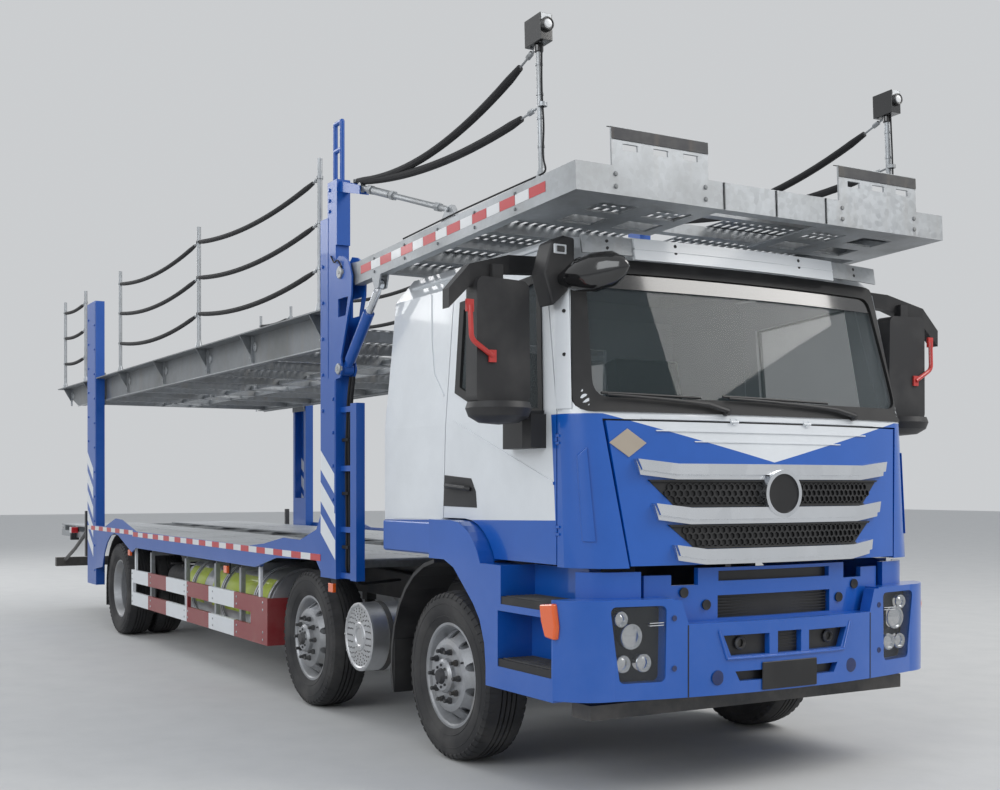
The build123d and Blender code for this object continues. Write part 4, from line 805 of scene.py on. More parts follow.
# %% Pillar strips
PILLAR_LOW, PILLAR_HIGH, PILLAR_WIDE = (1.129, 1.93), (1.062, 2.66), 0.035
pillars = bmesh.new()
path = [(PILLAR_LOW[0] + (PILLAR_HIGH[0] - PILLAR_LOW[0]) * t,
         PILLAR_LOW[1] + (PILLAR_HIGH[1] - PILLAR_LOW[1]) * t) for t in (i / 6 for i in range(7))]
wrapped(pillars, [path, [(y + PILLAR_WIDE, z) for y, z in path]], 0.012, 0.01)
piece("pillar_strips", pillars, LOOKS["white"], "chassis", both=True)
screws = bmesh.new()
for z in (2.42, 2.20):
    y = 1.129 - 0.067 * (z - 1.93) / 0.73 + 0.016
    rod(screws, (front_x(y, z) + 0.008, y, z), (front_x(y, z) + 0.016, y + 0.003, z), 0.009, 12)
piece("pillar_screws", screws, LOOKS["mesh"], "chassis", both=True)

# %% [markdown]
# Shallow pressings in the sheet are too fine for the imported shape. A raised line a few millimetres wide
# catches the light in the same place and costs a handful of faces. The blank diamond plate is a flat
# prism whose points are pushed forward until they lie on the nose.

# %% Nose creases, diamond plate and corner ribs
creases = bmesh.new()
for half, low, high, out in ((0.80, 1.882, 1.888, 0.006), (0.72, 1.822, 1.828, 0.006),
                             (0.50, 1.770, 1.775, 0.005)):
    strip(creases, ((-half, low), (half, low)), ((-half, high), (half, high)), out, 0.004)
piece("nose_creases", creases, LOOKS["white"], "service_flap")

diamond = bmesh.new()
prism(diamond, [(-0.98, 1.762), (-0.88, 1.692), (-0.78, 1.762), (-0.88, 1.832)], "x", 0.0, 0.004)
for vertex in diamond.verts:
    vertex.co.x += front_x(vertex.co.y, vertex.co.z) + 0.001
piece("blank_diamond_plate", diamond, LOOKS["plate"], "service_flap")

recesses = bmesh.new()
strip(recesses, ((1.065, 1.28), (1.110, 1.28)), ((1.085, 1.74), (1.118, 1.70)), 0.010, 0.006, 0.012)
piece("corner_ribs", recesses, LOOKS["blue"], "chassis", both=True, bevel=0.003)

# %% [markdown]
# ## Doors, mirrors, steps and bumper fittings
#
# Small pieces on a door ride on that door, so they are built once for the left side and placed on
# each body in turn, mirrored for the right one.

# %% One builder for both doors
def on_doors(name, build, material, bevel=0.0):
    """The same piece on the left door and, mirrored, on the right one."""
    for side in ("left", "right"):
        bm = bmesh.new()
        build(bm)
        if side == "right":
            flip(bm)
        piece(f"{name}_{side}", bm, LOOKS[material], f"cab_door_{side}", bevel=bevel)


def window_seal(bm):
    """The rubber around the door's window."""
    outer = [(4.515, 2.075), (4.82, 1.962), (5.462, 1.895), (5.352, 2.642), (4.505, 2.592)]
    inner = [(4.568, 2.104), (4.835, 2.004), (5.415, 1.942), (5.318, 2.594), (4.558, 2.544)]
    wrapped(bm, [outer, inner], 0.007, 0.012, closed=True, place=on_side)


def handle(bm):
    """A shallow plate with a pull bar across it."""
    outline = [(4.411, 1.612), (4.720, 1.592), (4.772, 1.520), (4.784, 1.431), (4.398, 1.435)]
    prism(bm, outline, "y", 1.148, 1.154)
    pull = [(4.45, 1.157, 1.548), (4.47, 1.176, 1.552), (4.70, 1.176, 1.538), (4.72, 1.157, 1.532)]
    sweep(bm, pull, 0.013, 10)


def crease(bm):
    """The line that falls across the door from the window to the front corner."""
    strip(bm, ((4.501, 1.917), (5.560, 1.556)), ((4.501, 1.925), (5.560, 1.570)), 0.006, 0.003, 0.2,
          place=on_side)


on_doors("window_seal", window_seal, "rubber")
on_doors("door_handle", handle, "plastic", bevel=0.002)
on_doors("door_crease", crease, "two_tone")

# %% [markdown]
# Behind the doors the cab's side has pressed lines, a rain gutter under the roof and a blue skirt. None
# of them moves, so both sides come from one mirrored mesh on the chassis.

# %% Side creases, gutters and skirts
SIDE_PATHS = [((4.130, 2.680), (4.175, 2.40), (4.235, 2.20), (4.374, 2.065)),
              ((3.75, 1.352), (4.375, 1.358))]
side_lines = bmesh.new()
for path in SIDE_PATHS:
    for a, b in zip(path, path[1:]):
        above = ((a[0] + 0.008, a[1] + 0.006), (b[0] + 0.008, b[1] + 0.006))
        strip(side_lines, (a, b), above, 0.005, 0.003, 0.2, place=on_side)
piece("side_panel_creases", side_lines, LOOKS["two_tone"], "chassis", both=True)
gutter = bmesh.new()
path = [(3.80, 1.045, 2.765), (4.6, 1.050, 2.772), (5.25, 1.040, 2.790), (5.36, 1.000, 2.792)]
sweep(gutter, path, 0.011, 8)
piece("roof_gutters", gutter, LOOKS["white"], "chassis", both=True)

skirt = bmesh.new()
block(skirt, (3.63, 4.372), (1.150, 1.172), (1.155, 1.338))
piece("cab_skirts", skirt, LOOKS["blue"], "chassis", both=True, bevel=0.010)

# %% [markdown]
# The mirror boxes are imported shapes. They gain a glass towards the rear, a red bent bar in front and a
# round cup underneath, each of them on its own door.

# %% Mirror glass, red bar and lower cup
def mirror_glass(bm):
    """A thin pane on the box's rear face."""
    prism(bm, [(1.285, 1.985), (1.535, 1.972), (1.530, 2.545), (1.290, 2.535)], "x", 5.391, 5.396)


def red_bar(bm):
    """A bent bar with a foot at each end."""
    path = bend([(5.512, 1.600, 2.42), (5.520, 1.596, 2.256), (5.512, 1.474, 2.182)], 0.03)
    sweep(bm, path, 0.013, 10)
    for p in (path[0], path[-1]):
        block(bm, (5.50, 5.515), (p[1] - 0.02, p[1] + 0.02), (p[2] - 0.03, p[2] + 0.03))


def mirror_cup(bm):
    """The round housing of the wide-angle mirror."""
    profile = [(0.0, 0.10), (0.0, 0.155), (0.03, 0.165), (0.07, 0.150), (0.10, 0.10), (0.11, 0.0)]
    lathe(bm, profile, (5.45, 1.405, 1.962), (5.45, 1.405, 1.80), 24)


on_doors("mirror_glass", mirror_glass, "chrome", bevel=0.002)
on_doors("mirror_red_bar", red_bar, "guard_bright")
on_doors("mirror_lower_cup", mirror_cup, "plastic")

# %% [markdown]
# ## Bumper fittings
# 
# Screws sit in shallow wells, and seams part the bumper's panels. The wells are turned rings set a
# little into the face and coloured a darker blue, which is painted shade in the recess; their place
# comes from the bumper's own arc, so that none of them floats.

# %% Screw wells, eyes, seams and ridges
BUMPER_X, BUMPER_HALF, BUMPER_DROP = 6.0, 1.01, 0.12


def bumper_x(y):
    """The bumper's front face at one width, by its own arc."""
    radius = (BUMPER_HALF ** 2 + BUMPER_DROP ** 2) / (2 * BUMPER_DROP)
    return BUMPER_X - radius + (radius ** 2 - min(abs(y), BUMPER_HALF) ** 2) ** 0.5


# the wells' darker blue is painted shade of the recess, not a paint of their own
wells = bmesh.new()
for y, z, size in ((0.455, 0.60, 0.030), (0.70, 0.905, 0.012), (0.70, 0.66, 0.012), (1.08, 0.905, 0.012)):
    x = bumper_x(y) - (0.035 if y > BUMPER_HALF else 0.0)
    profile = [(-0.002, size), (0.003, size * 1.25), (0.004, size), (0.001, 0.0)]
    lathe(wells, profile, (x, y, z), (x + 1, y, z), 16)
piece("bumper_wells", wells, LOOKS["shade_blue"], "chassis", both=True)
eyes = bmesh.new()
for y, z in ((0.455, 0.955), (0.585, 1.02)):
    x = bumper_x(y) - 0.088
    lathe(eyes, [(-0.002, 0.026), (0.006, 0.026), (0.004, 0.014), (0.001, 0.0)], (x, y, z), (x + 1, y, z), 16)
piece("panel_eyes", eyes, LOOKS["mesh"], "chassis", both=True)

seams = bmesh.new()
y = 0.622
block(seams, (bumper_x(y) - 0.03, bumper_x(y) + 0.0015), (y - 0.003, y + 0.003), (0.515, 0.868))
piece("bumper_seams", seams, LOOKS["mesh"], "chassis", both=True)

ridge = bmesh.new()
for a, b in (((0.45, 0.835), (0.40, 0.690)), ((0.40, 0.690), (0.0, 0.690))):
    path = []
    for t in (i / 6 for i in range(7)):
        y = a[0] + (b[0] - a[0]) * t
        path.append((bumper_x(y) + 0.002, y, a[1] + (b[1] - a[1]) * t))
    sweep(ridge, path, 0.007, 8)
piece("bumper_ridges", ridge, LOOKS["blue"], "chassis", both=True)

# %% [markdown]
# The lamps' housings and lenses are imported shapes. What makes a lamp look like one is behind the lens:
# a bright ring, and a bowl that rises to a small tip. Both are turned from short profiles.

# %% Plate holder, corner markers and round lamps

plate_frame = bmesh.new()
prism(plate_frame, [(-0.185, 0.522), (0.185, 0.522), (0.185, 0.662), (-0.185, 0.662)], "x", 5.997, 6.006)
piece("front_plate_holder", plate_frame, LOOKS["mesh"], "chassis", bevel=0.006)

marker = bmesh.new()
outline = [(5.60, 0.972), (5.725, 0.985), (5.745, 0.87), (5.735, 0.808), (5.65, 0.815), (5.615, 0.89)]
prism(marker, outline, "y", 1.232, 1.268)
piece("corner_markers", marker, LOOKS["orange"], "chassis", both=True, bevel=0.012)

bezels = bmesh.new()
glow = bmesh.new()
LAMP_DEPTH = 0.04
for y, z, radius in ((0.958, 0.905, 0.034), (0.905, 0.820, 0.058), (0.948, 0.688, 0.038),
                     (0.842, 0.690, 0.040)):
    x = BUMPER_X - LAMP_DEPTH - (y / BUMPER_HALF) ** 2 * BUMPER_DROP
    ring = [(-0.004, radius - 0.002), (0.006, radius + 0.006), (0.010, radius + 0.004),
            (0.008, radius - 0.004), (0.001, radius - 0.006)]
    bowl = [(0.001, radius - 0.005), (0.005, radius * 0.6), (0.012, radius * 0.25), (0.013, 0.0)]
    lathe(bezels, ring, (x, y, z), (x + 1, y, z), 32)
    lathe(glow, bowl, (x, y, z), (x + 1, y, z), 32)
piece("lamp_bezels", bezels, LOOKS["chrome"], "chassis", both=True)
piece("lamp_reflectors", glow, LOOKS["bright"], "chassis", both=True)
lamp_lines = bmesh.new()
for z in (0.872, 0.884):
    block(lamp_lines, (5.915, 5.932), (0.755, 0.84), (z, z + 0.004))
piece("lamp_fins", lamp_lines, LOOKS["chrome"], "chassis", both=True)

# %% [markdown]
# Steps are ribbed so that a wet shoe holds, and the air inlets have thin slats. Each is a handful of
# level bars, so a plain loop is shorter here than a node tree would be.

# %% Step grips, slats and horns
GRIP_COUNT, GRIP_PITCH = 7, 0.028
grips = bmesh.new()
for z, low, high in ((0.980, 5.20, 5.685), (0.655, 5.17, 5.685)):
    for i in range(GRIP_COUNT):
        y = 1.045 + i * GRIP_PITCH
        block(grips, (low + 0.02, high - 0.02), (y, y + 0.010), (z, z + 0.006))
piece("step_grips", grips, LOOKS["steel"], "chassis", both=True)

slats = bmesh.new()
for z in (0.722, 0.740, 0.758, 0.776, 0.794):
    block(slats, (5.952, 5.968), (-0.075, 0.075), (z, z + 0.006))
for i in range(6):
    z = 0.900 + i * 0.016
    block(slats, (5.872, 5.878), (-0.375, 0.375), (z, z + 0.004))
piece("bumper_slats", slats, LOOKS["plastic"], "chassis")
horns = bmesh.new()
mouth = [(0.0, 0.0), (0.0, 0.03), (0.012, 0.034), (0.02, 0.026), (0.006, 0.02)]
lathe(horns, mouth, (5.955, 0.30, 0.762), (6.1, 0.30, 0.762), 20)
piece("bumper_horns", horns, LOOKS["steel"], "chassis", both=True)

# %% [markdown]
# ## Repeats grown by Geometry Nodes
#
# Treads, studs, ribs, tape squares and bolts are one small item set down many times. Two trees do
# that: one walks along a line, the other turns about an axle. Each takes the item, a count and a
# step, makes the copies real and hands over a plain mesh.

# %% Two trees: a row and a ring
def repeat_tree(name, turning):
    """A tree that sets an item down in a row or, turned step by step, in a ring."""
    tree = bpy.data.node_groups.new(name, "GeometryNodeTree")
    face = tree.interface
    for label, kind in (("Item", "Object"), ("Count", "Int"), ("Start", "Vector"), ("Step", "Vector"),
                        ("Look", "Material")):
        face.new_socket(label, in_out="INPUT", socket_type=f"NodeSocket{kind}")
    face.new_socket("Geometry", in_out="OUTPUT", socket_type="NodeSocketGeometry")
    make, link = tree.nodes.new, tree.links.new
    start, end = make("NodeGroupInput"), make("NodeGroupOutput")
    line, item = make("GeometryNodeMeshLine"), make("GeometryNodeObjectInfo")
    put = make("GeometryNodeInstanceOnPoints")
    real, look = make("GeometryNodeRealizeInstances"), make("GeometryNodeSetMaterial")
    line.mode = "OFFSET"
    link(start.outputs["Count"], line.inputs["Count"])
    link(start.outputs["Start"], line.inputs["Start Location"])
    link(start.outputs["Item"], item.inputs["Object"])
    if turning:
        index, turn = make("GeometryNodeInputIndex"), make("ShaderNodeVectorMath")
        turn.operation = "SCALE"
        link(start.outputs["Step"], turn.inputs[0])
        link(index.outputs[0], turn.inputs["Scale"])
        link(turn.outputs[0], put.inputs["Rotation"])
        line.inputs["Offset"].default_value = (0, 0, 0)
    else:
        link(start.outputs["Step"], line.inputs["Offset"])
    link(line.outputs[0], put.inputs["Points"])
    link(item.outputs["Geometry"], put.inputs["Instance"])
    link(put.outputs[0], real.inputs[0])
    link(real.outputs[0], look.inputs["Geometry"])
    link(start.outputs["Look"], look.inputs["Material"])
    link(look.outputs[0], end.inputs[0])
    return tree


ROW, RING = repeat_tree("copies_in_a_row", False), repeat_tree("copies_in_a_ring", True)
print("trees:", ROW.name, RING.name)

# %% [markdown]
# A tree needs an object to work on. The helper makes a small item and an empty carrier, sets the
# tree's inputs by their identifiers, takes the evaluated mesh and throws both away again.

# %% Grow copies into a mesh


def repeat(bm, tree, build, count, start, step, look="steel"):
    """Adds count copies of a small item to a bmesh."""
    small = bmesh.new()
    build(small)
    bmesh.ops.recalc_face_normals(small, faces=small.faces[:])
    mesh = bpy.data.meshes.new("item")
    small.to_mesh(mesh)
    small.free()
    item = bpy.data.objects.new("item", mesh)
    carrier = bpy.data.objects.new("carrier", bpy.data.meshes.new("carrier"))
    for obj in (item, carrier):
        bpy.context.scene.collection.objects.link(obj)
    grow = carrier.modifiers.new("grow", "NODES")
    grow.node_group = tree
    values = {"Item": item, "Count": count, "Start": start, "Step": step, "Look": LOOKS[look]}
    for socket in tree.interface.items_tree:
        if socket.in_out == "INPUT":
            grow[socket.identifier] = values[socket.name]
    carrier.update_tag()
    depsgraph = bpy.context.evaluated_depsgraph_get()
    grown = bpy.data.meshes.new_from_object(carrier.evaluated_get(depsgraph))
    carrier.modifiers.clear()
    bm.from_mesh(grown)
    for obj in (carrier, item):
        bpy.data.objects.remove(obj)
    bpy.data.meshes.remove(grown)


# %% [markdown]
# ## Wheels
#
# A tyre's section is turned with four grooves in its crown, and lugs stand along both shoulders. The
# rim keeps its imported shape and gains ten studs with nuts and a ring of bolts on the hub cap.

# %% Tyres with tread
TYRE_R, TYRE_HALF, GROOVE_R = 0.478, 0.1375, 0.466
LUG_COUNT, TYRE_STEPS = 56, 72
CROWN = []
for middle in (-0.045, -0.015, 0.015, 0.045):
    CROWN += [(middle - 0.005, TYRE_R), (middle - 0.004, GROOVE_R), (middle + 0.004, GROOVE_R),
              (middle + 0.005, TYRE_R)]
SECTION = [(-0.100, 0.286), (-0.128, 0.330), (-TYRE_HALF, 0.372), (-0.136, 0.400), (-0.1335, 0.428),
           (-0.128, 0.446), (-0.1175, 0.463), (-0.072, 0.4765)]
TYRE_PROFILE = SECTION + CROWN + [(-a, b) for a, b in reversed(SECTION)]


def lug(bm):
    """A block of tread on each shoulder, standing at the top of the wheel."""
    for side in (-1, 1):
        section = ((0.070, 0.4765), (0.118, 0.4665), (0.134, 0.446), (0.132, 0.438), (0.112, 0.457),
                   (0.070, 0.470))
        outline = [(side * a, r) for a, r in section]
        rings = [[bm.verts.new((x, a, r)) for a, r in outline] for x in (-0.0125, 0.0125)]
        bm.faces.new(rings[0])
        bm.faces.new(rings[1])
        for i in range(len(outline)):
            j = (i + 1) % len(outline)
            bm.faces.new((rings[0][i], rings[0][j], rings[1][j], rings[1][i]))


# place, axle's x, middles of its tyres, foot of the studs and radius of their ring
WHEELS = [("front", 4.5, (1.055,), 0.128, 0.1425), ("second", 2.42, (1.055,), 0.128, 0.1425),
          ("rear", -2.66, (1.106, 0.793), 0.014, 0.135)]
for place, x, ys, _, _ in WHEELS:
    for side, sign in (("left", 1), ("right", -1)):
        rubber = bmesh.new()
        for y in ys:
            centre = (x, sign * y, TYRE_R)
            beyond = (x, sign * y + 1, TYRE_R)
            lathe(rubber, TYRE_PROFILE + [TYRE_PROFILE[0]], centre, beyond, TYRE_STEPS)
            repeat(rubber, RING, lug, LUG_COUNT, centre, (0, 2 * pi / LUG_COUNT, 0))
            for radius, wide in ((0.405, 0.136), (0.335, 0.130)):
                for face in (-1, 1):
                    bead = [(face * (wide - 0.002), radius - 0.004), (face * (wide + 0.002), radius),
                            (face * (wide - 0.002), radius + 0.004)]
                    lathe(rubber, bead, centre, beyond, TYRE_STEPS)
        piece(f"tyre_dressed_{place}_{side}", rubber, LOOKS["tyre"], f"wheel_{place}_{side}",
              replaces=(f"tyre_{place}_{side}",), smooth=35)

# %% [markdown]
# Ten studs hold each wheel. One stud with its six-sided nut is made on the wheel's top, and the ring
# tree turns it about the axle. The hub cap and its smaller bolts follow in the same way.

# %% Studs, nuts and hub caps
STUD_COUNT, CAP_BOLT_COUNT, TWIN_MIDDLE_Y = 10, 8, 0.9495


def stud(radius, foot, reach):
    """A stud through a nut, at a radius from the axle."""
    def build(bm):
        rod(bm, (radius, foot - 0.004, 0), (radius, foot + reach, 0), 0.011, 10, 0.002)
        nut = [(0, 0.0), (0, 0.019), (0.018, 0.0185), (0.020, 0.0)]
        lathe(bm, nut, (radius, foot, 0), (radius, foot + 1, 0), 6)
    return build


def cap_bolt(face):
    """A small bolt head on the hub cap."""
    def build(bm):
        head = [(0, 0.0), (0, 0.009), (0.008, 0.008), (0.009, 0.0)]
        lathe(bm, head, (0.062, face, 0), (0.062, face + 1, 0), 6)
    return build


for place, x, ys, foot, ring in WHEELS:
    y = ys[0] if place != "rear" else TWIN_MIDDLE_Y
    cap = 0.166 if place != "rear" else 0.080
    for side in ("left", "right"):
        studs = bmesh.new()
        axle = (x, y, TYRE_R)
        repeat(studs, RING, stud(ring, foot, 0.046), STUD_COUNT, axle, (0, 2 * pi / STUD_COUNT, 0))
        repeat(studs, RING, cap_bolt(cap - 0.001), CAP_BOLT_COUNT, axle, (0, 2 * pi / CAP_BOLT_COUNT, 0))
        dome = [(cap, 0.0), (cap, 0.046), (cap + 0.006, 0.044), (cap + 0.022, 0.034), (cap + 0.024, 0.0)]
        lathe(studs, dome, axle, (x, y + 1, TYRE_R), 24)
        rod(studs, (x + 0.19, y + 0.05, TYRE_R + 0.10), (x + 0.17, y + 0.135, TYRE_R + 0.09), 0.006, 8)
        if side == "right":
            flip(studs)
        piece(f"studs_{place}_{side}", studs, LOOKS["steel"], f"wheel_{place}_{side}", smooth=40)

# %% [markdown]
# Rubber flaps hang behind the front wheels, and a bent sheet covers the rear ones. The sheet is an arc
# about the axle drawn once at its inner and once at its outer radius.

# %% Mud flaps and rear mudguards
REAR_AXLE_X, GUARD_INNER_R, GUARD_OUTER_R, GUARD_YS = -2.66, 0.56, 0.574, (0.66, 1.225)


def rear_arc(radius, angles):
    """Points about the rear axle, as x and z."""
    return [(REAR_AXLE_X + radius * cos(radians(a)), TYRE_R + radius * sin(radians(a))) for a in angles]


flaps = bmesh.new()
prism(flaps, [(3.872, 0.30), (3.884, 0.30), (3.884, 0.62), (3.872, 0.62)], "y", 0.935, 1.215)
block(flaps, (3.862, 3.872), (0.96, 1.19), (0.58, 0.62))
piece("mud_flaps", flaps, LOOKS["rubber"], "chassis", both=True)
rear_guard = bmesh.new()
outline = rear_arc(GUARD_INNER_R, range(100, 186, 12)) + rear_arc(GUARD_OUTER_R, range(184, 99, -12))
prism(rear_guard, outline, "y", *GUARD_YS)
block(rear_guard, (-3.236, -3.222), GUARD_YS, (0.26, 0.50))
piece("rear_mudguards", rear_guard, LOOKS["rubber"], "chassis", both=True)

# %% [markdown]
# ## Warning paint along the sides
#
# The posts carry slanting white bands, the side guards change between white and red-brown, and a
# red and silver tape runs the length of the rail. Bands that are sprayed on are shader rules; the
# tape is a real strip, because it stands a little proud.

# %% Slanting bands on the posts
BAND_SLOPE, BAND_PITCH, BAND_SHARE = 0.70, 0.2125, 0.61
# x where a post starts, then the lowest and highest band on it
FRONT_BANDS, REAR_BANDS = (2.875, 1.235, 1.79), (-3.89, 0.95, 1.93)
GUARD_BLOCKS = [(-1.537, -0.923), (-0.28, 0.34), (0.99, 1.76)]
OUTER_FACE_Y, GUARD_TOP = 1.262, 0.706


def inside(tree, value, low, high):
    """One where a value lies between two limits."""
    above, below = math(tree, "GREATER_THAN", value, low), math(tree, "LESS_THAN", value, high)
    return math(tree, "MULTIPLY", above, below)


def band_group():
    """White bands that fall towards the front, on the outer faces of the posts alone."""
    tree, start, end = group("slanting_bands", [("Ground", "Color", POST_BLUE), ("Band", "Color", WHITE)],
                             [("Color", "Color")])
    axes = node(tree, "SeparateXYZ", Vector=node(tree, "TexCoord").outputs["Object"]).outputs
    mask = None
    for (foot, low, high), reach in ((FRONT_BANDS, 0.245), (REAR_BANDS, 0.27)):
        along = math(tree, "SUBTRACT", axes["X"], foot)
        level = math(tree, "ADD", axes["Z"], math(tree, "MULTIPLY", along, BAND_SLOPE))
        turn = math(tree, "FRACT", math(tree, "DIVIDE", math(tree, "SUBTRACT", level, low), BAND_PITCH))
        band = math(tree, "LESS_THAN", turn, BAND_SHARE)
        band = math(tree, "MULTIPLY", band, inside(tree, level, low, high))
        band = math(tree, "MULTIPLY", band, inside(tree, along, -0.01, reach))
        mask = band if mask is None else math(tree, "MAXIMUM", mask, band)
    outer = math(tree, "GREATER_THAN", math(tree, "ABSOLUTE", axes["Y"]), OUTER_FACE_Y)
    mask = math(tree, "MULTIPLY", mask, outer)
    tree.links.new(mix(tree, mask, start.outputs["Ground"], start.outputs["Band"]), end.inputs["Color"])
    return tree


# %% [markdown]
# The side guards are painted in blocks. A rule asks whether a point lies between two values of X, and
# one maker turns either rule into a paint with the usual film of dust.

# %% Blocks of colour on the guards
def guard_group():
    """Red-brown blocks along the white side guards."""
    tree, start, end = group("guard_blocks", [("Ground", "Color", WHITE), ("Block", "Color", GUARD_RED)],
                             [("Color", "Color")])
    axes = node(tree, "SeparateXYZ", Vector=node(tree, "TexCoord").outputs["Object"]).outputs
    mask = 0.0
    for low, high in GUARD_BLOCKS:
        mask = math(tree, "ADD", inside(tree, axes["X"], low, high), mask)
    mask = math(tree, "MULTIPLY", mask, math(tree, "LESS_THAN", axes["Z"], GUARD_TOP))
    tree.links.new(mix(tree, mask, start.outputs["Ground"], start.outputs["Block"]), end.inputs["Color"])
    return tree


def masked(name, tree, dust, rough):
    """Paint whose colour comes from a rule group."""
    material, film = finish(name, DUST, {"Amount": dust, "Roughness": rough}, 0.05, 0.0004, Coat_Weight=0.2)
    tone = material.node_tree.nodes.new("ShaderNodeGroup")
    tone.node_tree = tree
    material.node_tree.links.new(tone.outputs["Color"], film.inputs["Color"])
    return material


BANDED = masked("banded_blue", band_group(), 0.22, 0.36)
GUARD_PAINT = masked("guard_paint", guard_group(), 0.45, 0.42)
for name, obj in NODES.items():
    if "posts" in name or name.startswith("side_guards"):
        obj.data.materials.clear()
        obj.data.materials.append(GUARD_PAINT if "guards" in name else BANDED)
        print(name, "is painted", obj.data.materials[0].name)

# %% [markdown]
# The tape is a silver band with red squares on it. One square repeated by the row tree keeps the pitch
# even, and a second strip on the deck over the cab is turned to that deck's slight tilt.

# %% Tape along the rail and on the deck over the cab
SIDE_Y = 1.275
TAPE_LOW, TAPE_HIGH, TAPE_STEP_X = (1.045, 1.090), (1.060, 1.105), -1.95
TAPE_LENGTH, TAPE_HEIGHT, TAPE_PITCH = 0.178, 0.045, 0.356


def plate_item(length, height, thick=0.0012):
    """A thin upright plate that starts at the origin."""
    def build(bm):
        block(bm, (0, length), (0, thick), (-height / 2, height / 2))
    return build


silver = bmesh.new()
for (x0, x1), (z0, z1) in (((-3.885, TAPE_STEP_X), TAPE_HIGH), ((TAPE_STEP_X, 2.87), TAPE_LOW)):
    block(silver, (x0, x1), (SIDE_Y, SIDE_Y + 0.001), (z0, z1))
piece("rail_tape_silver", silver, LOOKS["tape_white"], "chassis", both=True, smooth=0)
reds = bmesh.new()
for count, x, z in ((5, -3.71, 1.0825), (14, -1.93, 1.0675)):
    repeat(reds, ROW, plate_item(TAPE_LENGTH, TAPE_HEIGHT), count, (x, SIDE_Y + 0.001, z), (TAPE_PITCH, 0, 0))
piece("rail_tape_red", reds, LOOKS["tape_red"], "chassis", both=True, smooth=0)

DECK_REAR, DECK_LEAN, DECK_Y = (3.370, 2.971), radians(2.5), 1.25


def on_deck(bm):
    """Moves faces from the level frame of the deck over the cab to its tilted place."""
    for vertex in bm.verts:
        u, w = vertex.co.x, vertex.co.z
        vertex.co.x = DECK_REAR[0] + u * cos(DECK_LEAN) - w * sin(DECK_LEAN)
        vertex.co.z = DECK_REAR[1] + u * sin(DECK_LEAN) + w * cos(DECK_LEAN)


# name, finish, where the first square starts, its length and the count
DECK_TAPE = [("red", "tape_red", 0.10, 0.150, 8), ("silver", "tape_white", 0.254, 0.130, 7)]
for name, look, start, length, count in DECK_TAPE:
    tape = bmesh.new()
    repeat(tape, ROW, plate_item(length, 0.052), count, (start, DECK_Y, -0.062), (0.288, 0, 0))
    on_deck(tape)
    piece(f"deck_tape_{name}", tape, LOOKS[look], "over_cab_deck", both=True, smooth=0)

# %% [markdown]
# ## Tanks, guards and silencer
# 
# White straps with a rubber lining hold the tanks, and coloured panels are stuck between them. All of
# them are arcs about the tank's own axis, so one bent-plate helper makes every one.

# %% Tank straps and panels
TANK_Y, TANK_Z, STRAP_R, PANEL_R = 0.8, 0.59, 0.3185, 0.3105


def arc_plate(bm, x, radius, thick, low, high, steps=14):
    """A bent plate on the tank's outer side, between two angles above the level."""
    turns = [radians(low + (high - low) * i / steps) for i in range(steps + 1)]
    outline = [(TANK_Y + radius * cos(a), TANK_Z + radius * sin(a)) for a in turns]
    outer = radius + thick
    outline += [(TANK_Y + outer * cos(a), TANK_Z + outer * sin(a)) for a in reversed(turns)]
    prism(bm, outline, "x", x[0], x[1])


straps, linings, panels = bmesh.new(), bmesh.new(), bmesh.new()
for x in (-0.5, 0.315, 1.13):
    for side in (-1, 1):
        arc_plate(straps, sorted((x + side * 0.010, x + side * 0.031)), STRAP_R, 0.004, -100, 150, 36)
    arc_plate(linings, (x - 0.0345, x + 0.0345), STRAP_R, 0.002, -100, 150, 36)
    rod(straps, (x, TANK_Y + 0.345, TANK_Z - 0.12), (x, TANK_Y + 0.335, TANK_Z + 0.02), 0.007, 8)
for x in ((-0.72, -0.55), (-0.44, -0.20), (0.03, 0.25), (0.38, 1.06), (1.20, 1.38)):
    arc_plate(panels, x, PANEL_R, 0.0015, -14, 46)
piece("tank_straps", straps, LOOKS["white"], "chassis", both=True)
piece("tank_strap_linings", linings, LOOKS["rubber"], "chassis", both=True)
piece("tank_panels", panels, LOOKS["hivis"], "chassis", both=True)
# %% [markdown]
# Domed ends close the tanks, and three valves with pipes leave them at the rear. Small orange lights
# on black backs sit along the side, as the law asks of a long truck.

# %% Tank ends, valves and side lights
fittings = bmesh.new()
for x, toward in ((-0.79, -1), (1.42, 1)):
    lathe(fittings, [(0, 0.29), (0.012, 0.288), (0.035, 0.20), (0.048, 0.0)], (x, TANK_Y, TANK_Z),
          (x + toward, TANK_Y, TANK_Z), 40)
for y, z in ((0.86, 0.70), (0.76, 0.52), (0.92, 0.56)):
    rod(fittings, (-0.83, y, z), (-0.90, y, z), 0.028, 12, 0.004)
    pipe = [(-0.90, y, z), (-0.97, y, z), (-0.99, y - 0.02, 0.86), (-1.3, 0.60, 0.90)]
    sweep(fittings, bend(pipe, 0.05), 0.011, 8)
piece("tank_ends_and_valves", fittings, LOOKS["alloy"], "chassis", both=True)

lights, cups = bmesh.new(), bmesh.new()
for x in (3.01, 0.85, -2.15):
    block(lights, (x - 0.04, x + 0.04), (1.238, 1.262), (0.845, 0.905))
    block(cups, (x - 0.045, x + 0.045), (1.226, 1.240), (0.838, 0.938))
piece("side_lights", lights, LOOKS["orange"], "chassis", both=True, bevel=0.004)
piece("side_light_backs", cups, LOOKS["rubber"], "chassis", both=True, bevel=0.002)

# %% [markdown]
# Hangers carry the side guards from the frame, and bolts hold the boards on them. Each hanger is an
# upright, an arm to the frame and two bolts, placed at four points along the truck.

